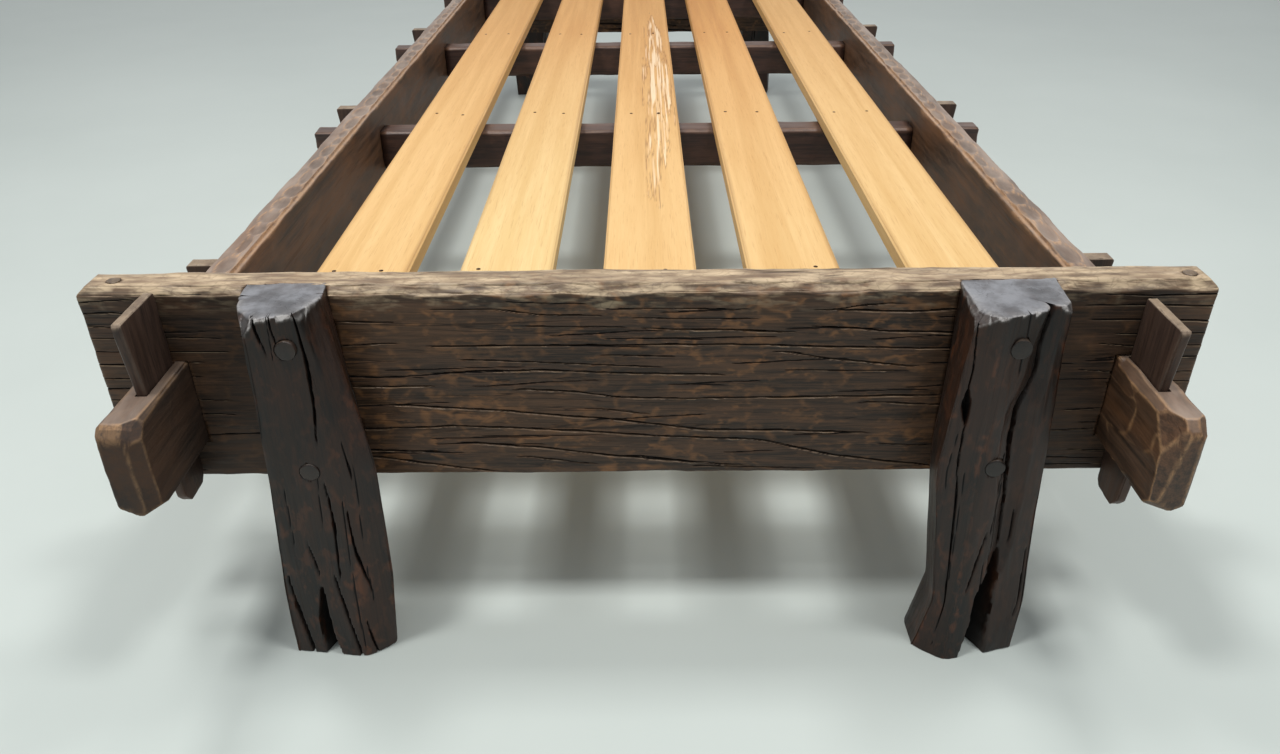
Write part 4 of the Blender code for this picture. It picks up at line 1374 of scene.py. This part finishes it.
rails = [
    make_rail("left", (LEFT_TIP, RIGHT_TIP), (CALM_TIP, CHOPPED_TIP), 7),
    make_rail("right", (RIGHT_TIP, LEFT_TIP), (CHOPPED_TIP, CALM_TIP), 19),
]
print("rails:", {piece.name: len(piece.data.polygons) for piece in rails})

# %% [markdown]
# The wedges
#
# A wedge is driven down through the slot in a tenon and pulls the joint tight. It tapers from top to tip,
# its top is bruised by the mallet and its edges are rubbed round. Every wedge can be lifted out, so each
# rides on its own body, and its surface stays inside the solid so that it slides freely in its slot.

# %% Wedges
WEDGE_SPACING, WEDGE_STEP, WEDGE_CHAMFER = 0.0013, 0.004, 0.0016
WEDGE_TIP_CUT, WEDGE_TOP_CUT = 0.006, 0.0016
WEDGE_HEWING = ((0.080, 0.030), 0.0004, 0.00015, (20, 70), 0.0004)
WEDGE_EDGE, WEDGE_END, WEDGE_FINE = (0.003, 0.0006), 0.0016, (0.0, 0.0008, 0.002, 0.004)


def make_wedge(node, seed):
    """A tapered wedge from its solid's own top and tip."""
    low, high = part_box(node)
    points = points_of(frame["nodes"][node])
    middle = (low.z + high.z) / 2
    ends = []
    for part in (points[points[:, 2] < middle], points[points[:, 2] > middle]):
        ends.append((part[:, 0].min(), part[:, 0].max(), part[:, 1].min(), part[:, 1].max()))
    wide = int(high.y - low.y > high.x - low.x)
    stations = stations_between(low.z, high.z, WEDGE_STEP, WEDGE_FINE)
    sections = []
    for z in stations:
        x0, x1, y0, y1 = np.array(ends[0]) + (np.array(ends[1]) - ends[0]) * (z - low.z) / (high.z - low.z)
        sections.append(box_section((x0, x1), (y0, y1), WEDGE_CHAMFER))

    def carve(s, t, edges):
        masks = masks_like(s)
        height, ridge = hewn_face(s, t, seed, *WEDGE_HEWING)
        masks["ridge"] = 0.4 * ridge
        for k in (1, 3, 5, 7):
            drop, bare = worn_edge(s, t, (edges[k] + edges[k + 1]) / 2, *WEDGE_EDGE, seed + k)
            height += drop
            mark(masks, "wear", 0.10 * bare * (0.3 + 0.7 * (s > middle)))
        drop, bare = rounded_ends(s, t, low.z, high.z, WEDGE_END, seed)
        mark(masks, "wear", 0.8 * bare * (s > middle))
        return height + drop, masks

    def hewing(points, masks):
        tip, top = points[:, 2] < low.z + 0.03, points[:, 2] > high.z - 0.02
        for sign in (-1, 1):
            across = np.roll((sign, 0, 0), wide)
            hew(points, masks, tip, 0.75 * across + (0, 0, -0.66), WEDGE_TIP_CUT, 0.1)
            hew(points, masks, top, 0.7 * across + (0, 0, 0.7), WEDGE_TOP_CUT, 0.6, 0.5)

    piece = loft(
        node + "_wood", "Z", stations, sections, WEDGE_SPACING, carve, key_wood, 1, 0.0, seed, hewing
    )
    return dress(piece, node)


keys = [node for node in sorted(frame["nodes"]) if node.endswith("_key")]
for number, node in enumerate(keys):
    make_wedge(node, 50 + number)
print("wedges:", len(keys))

# %% [markdown]
# The bearers
#
# Four bearers cross the bed under the slats. Each has a thinner tongue at both ends that passes through a
# rail and takes a small wedge outside it. The loft is the rail's again, run across the bed, with calmer
# tool marks.

# %% Bearers
BEARER_SPACING, BEARER_STEP = 0.0026, 0.010
BEARER_CHAMFER, TONGUE_CHAMFER = 0.003, 0.002
BEARER_HEWING = ((0.070, 0.040), 0.0008, 0.0003, (12, 50), 0.0004)
BEARER_EDGE, BEARER_END = (0.0055, 0.0014), 0.003


def make_bearer(number, seed):
    """One bearer with a tongue at each end."""
    node = f"bearer_{number}"
    low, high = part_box(node)
    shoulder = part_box("right_rail")[0].x - SHOULDER_GAP
    points = points_of(frame["nodes"][node])
    tongue = points[np.abs(points[:, 0]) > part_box("right_rail")[1].x]
    full = box_section((low.y, high.y), (low.z, high.z), BEARER_CHAMFER)
    thin = box_section(
        (tongue[:, 1].min(), tongue[:, 1].max()), (tongue[:, 2].min(), tongue[:, 2].max()), TONGUE_CHAMFER
    )
    tip = np.array([0.0, 0.001, 0.003, 0.006])
    reach = np.concatenate([tip, np.linspace(0.012, high.x - shoulder, 14)])
    body = np.linspace(-shoulder, shoulder, round(2 * shoulder / BEARER_STEP))
    stations = np.concatenate([low.x + reach, body, high.x - reach[::-1]])
    tongue_sections = all_along(thin, reach)
    sections = np.concatenate([tongue_sections, all_along(full, body), tongue_sections])

    def carve(s, t, edges):
        masks = masks_like(s)
        height, ridge = hewn_face(s, t, seed, *BEARER_HEWING)
        masks["ridge"] = 0.2 + 0.2 * ridge
        for k in (1, 3, 5, 7):
            drop, bare = worn_edge(s, t, (edges[k] + edges[k + 1]) / 2, *BEARER_EDGE, seed + k)
            height += drop
            mark(masks, "wear", (0.6 if k in (3, 5) else 0.2) * bare)
        drop, bare = rounded_ends(s, t, low.x, high.x, BEARER_END, seed)
        mark(masks, "wear", 0.5 * bare)
        return height + drop, masks

    piece = loft(node + "_wood", "X", stations, sections, BEARER_SPACING, carve, bearer_wood, 1, 0.0, seed)
    own_keys = [frame["nodes"][f"{side}_{node}_key"] for side in ("left", "right")]
    cut_joints(piece, [cutter_like(key, KEY_SLIDE) for key in own_keys])
    return dress(piece, node)


bearers = [make_bearer(number, 60 + number) for number in range(1, 5)]
print("bearers:", {piece.name: len(piece.data.polygons) for piece in bearers})

# %% [markdown]
# The slats
#
# Five planed slats carry the mattress. They are machine-made, so their faces are flat and their edges
# only lightly eased. The middle slat has a long tear where the grain lifted, pale and rough, which is
# carved as shallow grooves and marked with the wear mask.

# %% Slats
SLAT_SPACING, SLAT_STEP = 0.004, 0.016
TORN_SPACING, TORN_STEP = 0.0009, 0.006
SLAT_CHAMFER, SLAT_END, SLAT_FINE = 0.0024, 0.0015, (0.0, 0.0008, 0.002)
TORN_SLAT = 3
# How deep the honey colour of each slat is at the foot of the bed and at its head: partly each slat's
# own tone, and partly painted light that is brighter at the foot and falls off towards the head.
SLAT_TONE_AND_LIGHT = ((0.42, 0.78), (0.08, 0.85), (0.45, 0.85), (0.40, 1.00), (0.32, 0.70))
# The tear along the middle slat: place along the bed, share of the width from the left, half width.
TEAR = (
    (-0.67, 0.66, 0.002), (-0.62, 0.60, 0.009), (-0.52, 0.62, 0.012), (-0.42, 0.66, 0.016),
    (-0.28, 0.72, 0.021), (-0.10, 0.72, 0.024), (0.10, 0.69, 0.022), (0.40, 0.64, 0.012), (0.55, 0.62, 0.002),
)


def make_slat(number, seed):
    """One planed slat, torn along its grain if it is the middle one."""
    node = f"slat_{number}"
    low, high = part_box(node)
    torn = number == TORN_SLAT
    stations = stations_between(low.y, high.y, TORN_STEP if torn else SLAT_STEP, SLAT_FINE)
    outline = box_section((low.z, high.z), (low.x, high.x), SLAT_CHAMFER)
    sections = all_along(outline, stations)

    def carve(s, t, edges):
        masks = masks_like(s)
        height = 0.00015 * rough(s * 6, t * 30, seed) - 0.0002
        # Painted light: paler at the foot, deeper towards the head, with each slat's own tone at both ends.
        masks["ridge"] = np.interp(s, (-0.75, 0.35), SLAT_TONE_AND_LIGHT[number - 1])
        drop, _ = rounded_ends(s, t, low.y, high.y, SLAT_END, seed)
        for k in (2, 3):
            arris = np.clip(1 - np.abs(t - edges[k]) / 0.0016, 0, 1)
            mark(masks, "crack_stain_shade", 0.45 * arris * (0.6 + 0.4 * noise(s * 5, k, seed)))
        if torn:
            along, share, wide = np.array(TEAR).T
            middle = edges[2] + np.interp(s, along, share) * (edges[3] - edges[2])
            across = (t - middle) / np.maximum(np.interp(s, along, wide, left=0, right=0), 1e-4)
            fibres = rough(s * 6, t * 270, seed + 2, 3)
            field = 1 - across**2 + 0.8 * fibres
            tear = np.clip((field - 0.35) / 0.25, 0, 1) * (np.abs(across) < 2.5)
            splinters = np.clip(0.5 + 1.6 * rough(s * 8, t * 420, seed + 5, 2), 0, 1)
            height -= 0.0014 * tear * (0.3 + 0.7 * splinters)
            masks["wear"] = 0.75 * tear * splinters**2
            outline_here = np.clip(1 - np.abs(field - 0.32) / 0.16, 0, 1) * (np.abs(across) < 1.6)
            gaps = tear * np.clip(1 - np.abs(splinters - 0.16) / 0.16, 0, 1)
            mark(masks, "crack_stain_shade", np.maximum(0.55 * outline_here, 0.6 * gaps))
        return height + drop, masks

    spacing = np.full(8, SLAT_SPACING)
    spacing[2] = TORN_SPACING if torn else SLAT_SPACING
    piece = loft(node + "_wood", "Y", stations, sections, spacing, carve, slat_wood, 0, 0.0, seed)
    return dress(piece, node)


slats = [make_slat(number, 80 + number) for number in range(1, 6)]
print("slats:", {piece.name: len(piece.data.polygons) for piece in slats})

# %% [markdown]
# The slat screws
#
# Two small slotted screws hold each slat on each bearer. A head is a turned dome with a straight slot cut
# across, and the hand that drove them left every slot at its own angle. They are too small for a joint of
# their own, so the eight screws of a slat are one piece that rides with the frame.

# %% Screws
HEAD_RADIUS, HEAD_RISE, SLOT_WIDTH, SLOT_DEPTH = 0.0023, 0.0007, 0.0006, 0.0005
SCREW_SHARES = (0.21, 0.71)
HEAD_SIDES = 20
# How far a screw is off its place, as a share of the slat's width and along the bed, and how deep it sits.
SCREW_STRAY, ROW_STRAY, HEAD_SUNK = 0.05, 0.007, 0.0002


def screw_head():
    """A slotted domed head that stands on z 0, as one mesh."""
    profile = [
        (1.0, -0.0004), (1.0, 0.0003), (0.86, 0.62 * HEAD_RISE), (0.60, 0.88 * HEAD_RISE), (0.30, HEAD_RISE),
    ]
    stations = [z for _, z in profile]
    sections = [round_section((0, 0), HEAD_RADIUS * share, HEAD_SIDES) for share, _ in profile]

    def carve(s, t, edges):
        return np.zeros(s.shape), masks_like(s)

    head = loft("screw_head", "Z", stations, sections, HEAD_RADIUS, carve, screw_steel, 0)
    bpy.ops.mesh.primitive_cube_add(size=1, location=(0, 0, HEAD_RISE + 0.5 * SLOT_WIDTH))
    slot = bpy.context.object
    slot.scale = (3 * HEAD_RADIUS, SLOT_WIDTH, 2 * SLOT_DEPTH + SLOT_WIDTH)
    cut_joints(head, [slot])
    return head


def make_screws(number, head, rng):
    """The eight screws of one slat."""
    low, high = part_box(f"slat_{number}")
    corners = np.array([v.co for v in head.data.vertices])
    faces = [list(face.vertices) for face in head.data.polygons]
    points, polygons = [], []
    for bearer in range(1, 5):
        b_low, b_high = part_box(f"bearer_{bearer}")
        for share in SCREW_SHARES:
            x = low.x + (share + rng.uniform(-SCREW_STRAY, SCREW_STRAY)) * (high.x - low.x)
            y = (b_low.y + b_high.y) / 2 + rng.uniform(-ROW_STRAY, ROW_STRAY)
            turn = rng.uniform(0, math.pi)
            aside, ahead = math.cos(turn), math.sin(turn)
            spin = np.array([[aside, -ahead, 0], [ahead, aside, 0], [0, 0, 1]])
            polygons += [[len(points) + v for v in face] for face in faces]
            points += list(corners @ spin.T + (x, y, high.z - HEAD_SUNK))
    mesh = bpy.data.meshes.new(f"slat_{number}_screws")
    mesh.from_pydata(points, [], polygons)
    mesh.materials.append(screw_steel)
    piece = put_in_scene(mesh.name, mesh)
    mesh.shade_smooth()
    mesh.set_sharp_from_angle(angle=SMOOTH_ANGLE)
    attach(piece, "frame")
    return piece


pattern = screw_head()
screw_rng = np.random.default_rng(90)
screws = [make_screws(number, pattern, screw_rng) for number in range(1, 6)]
bpy.data.objects.remove(pattern)
print("screws:", len(screws) * 4 * len(SCREW_SHARES))
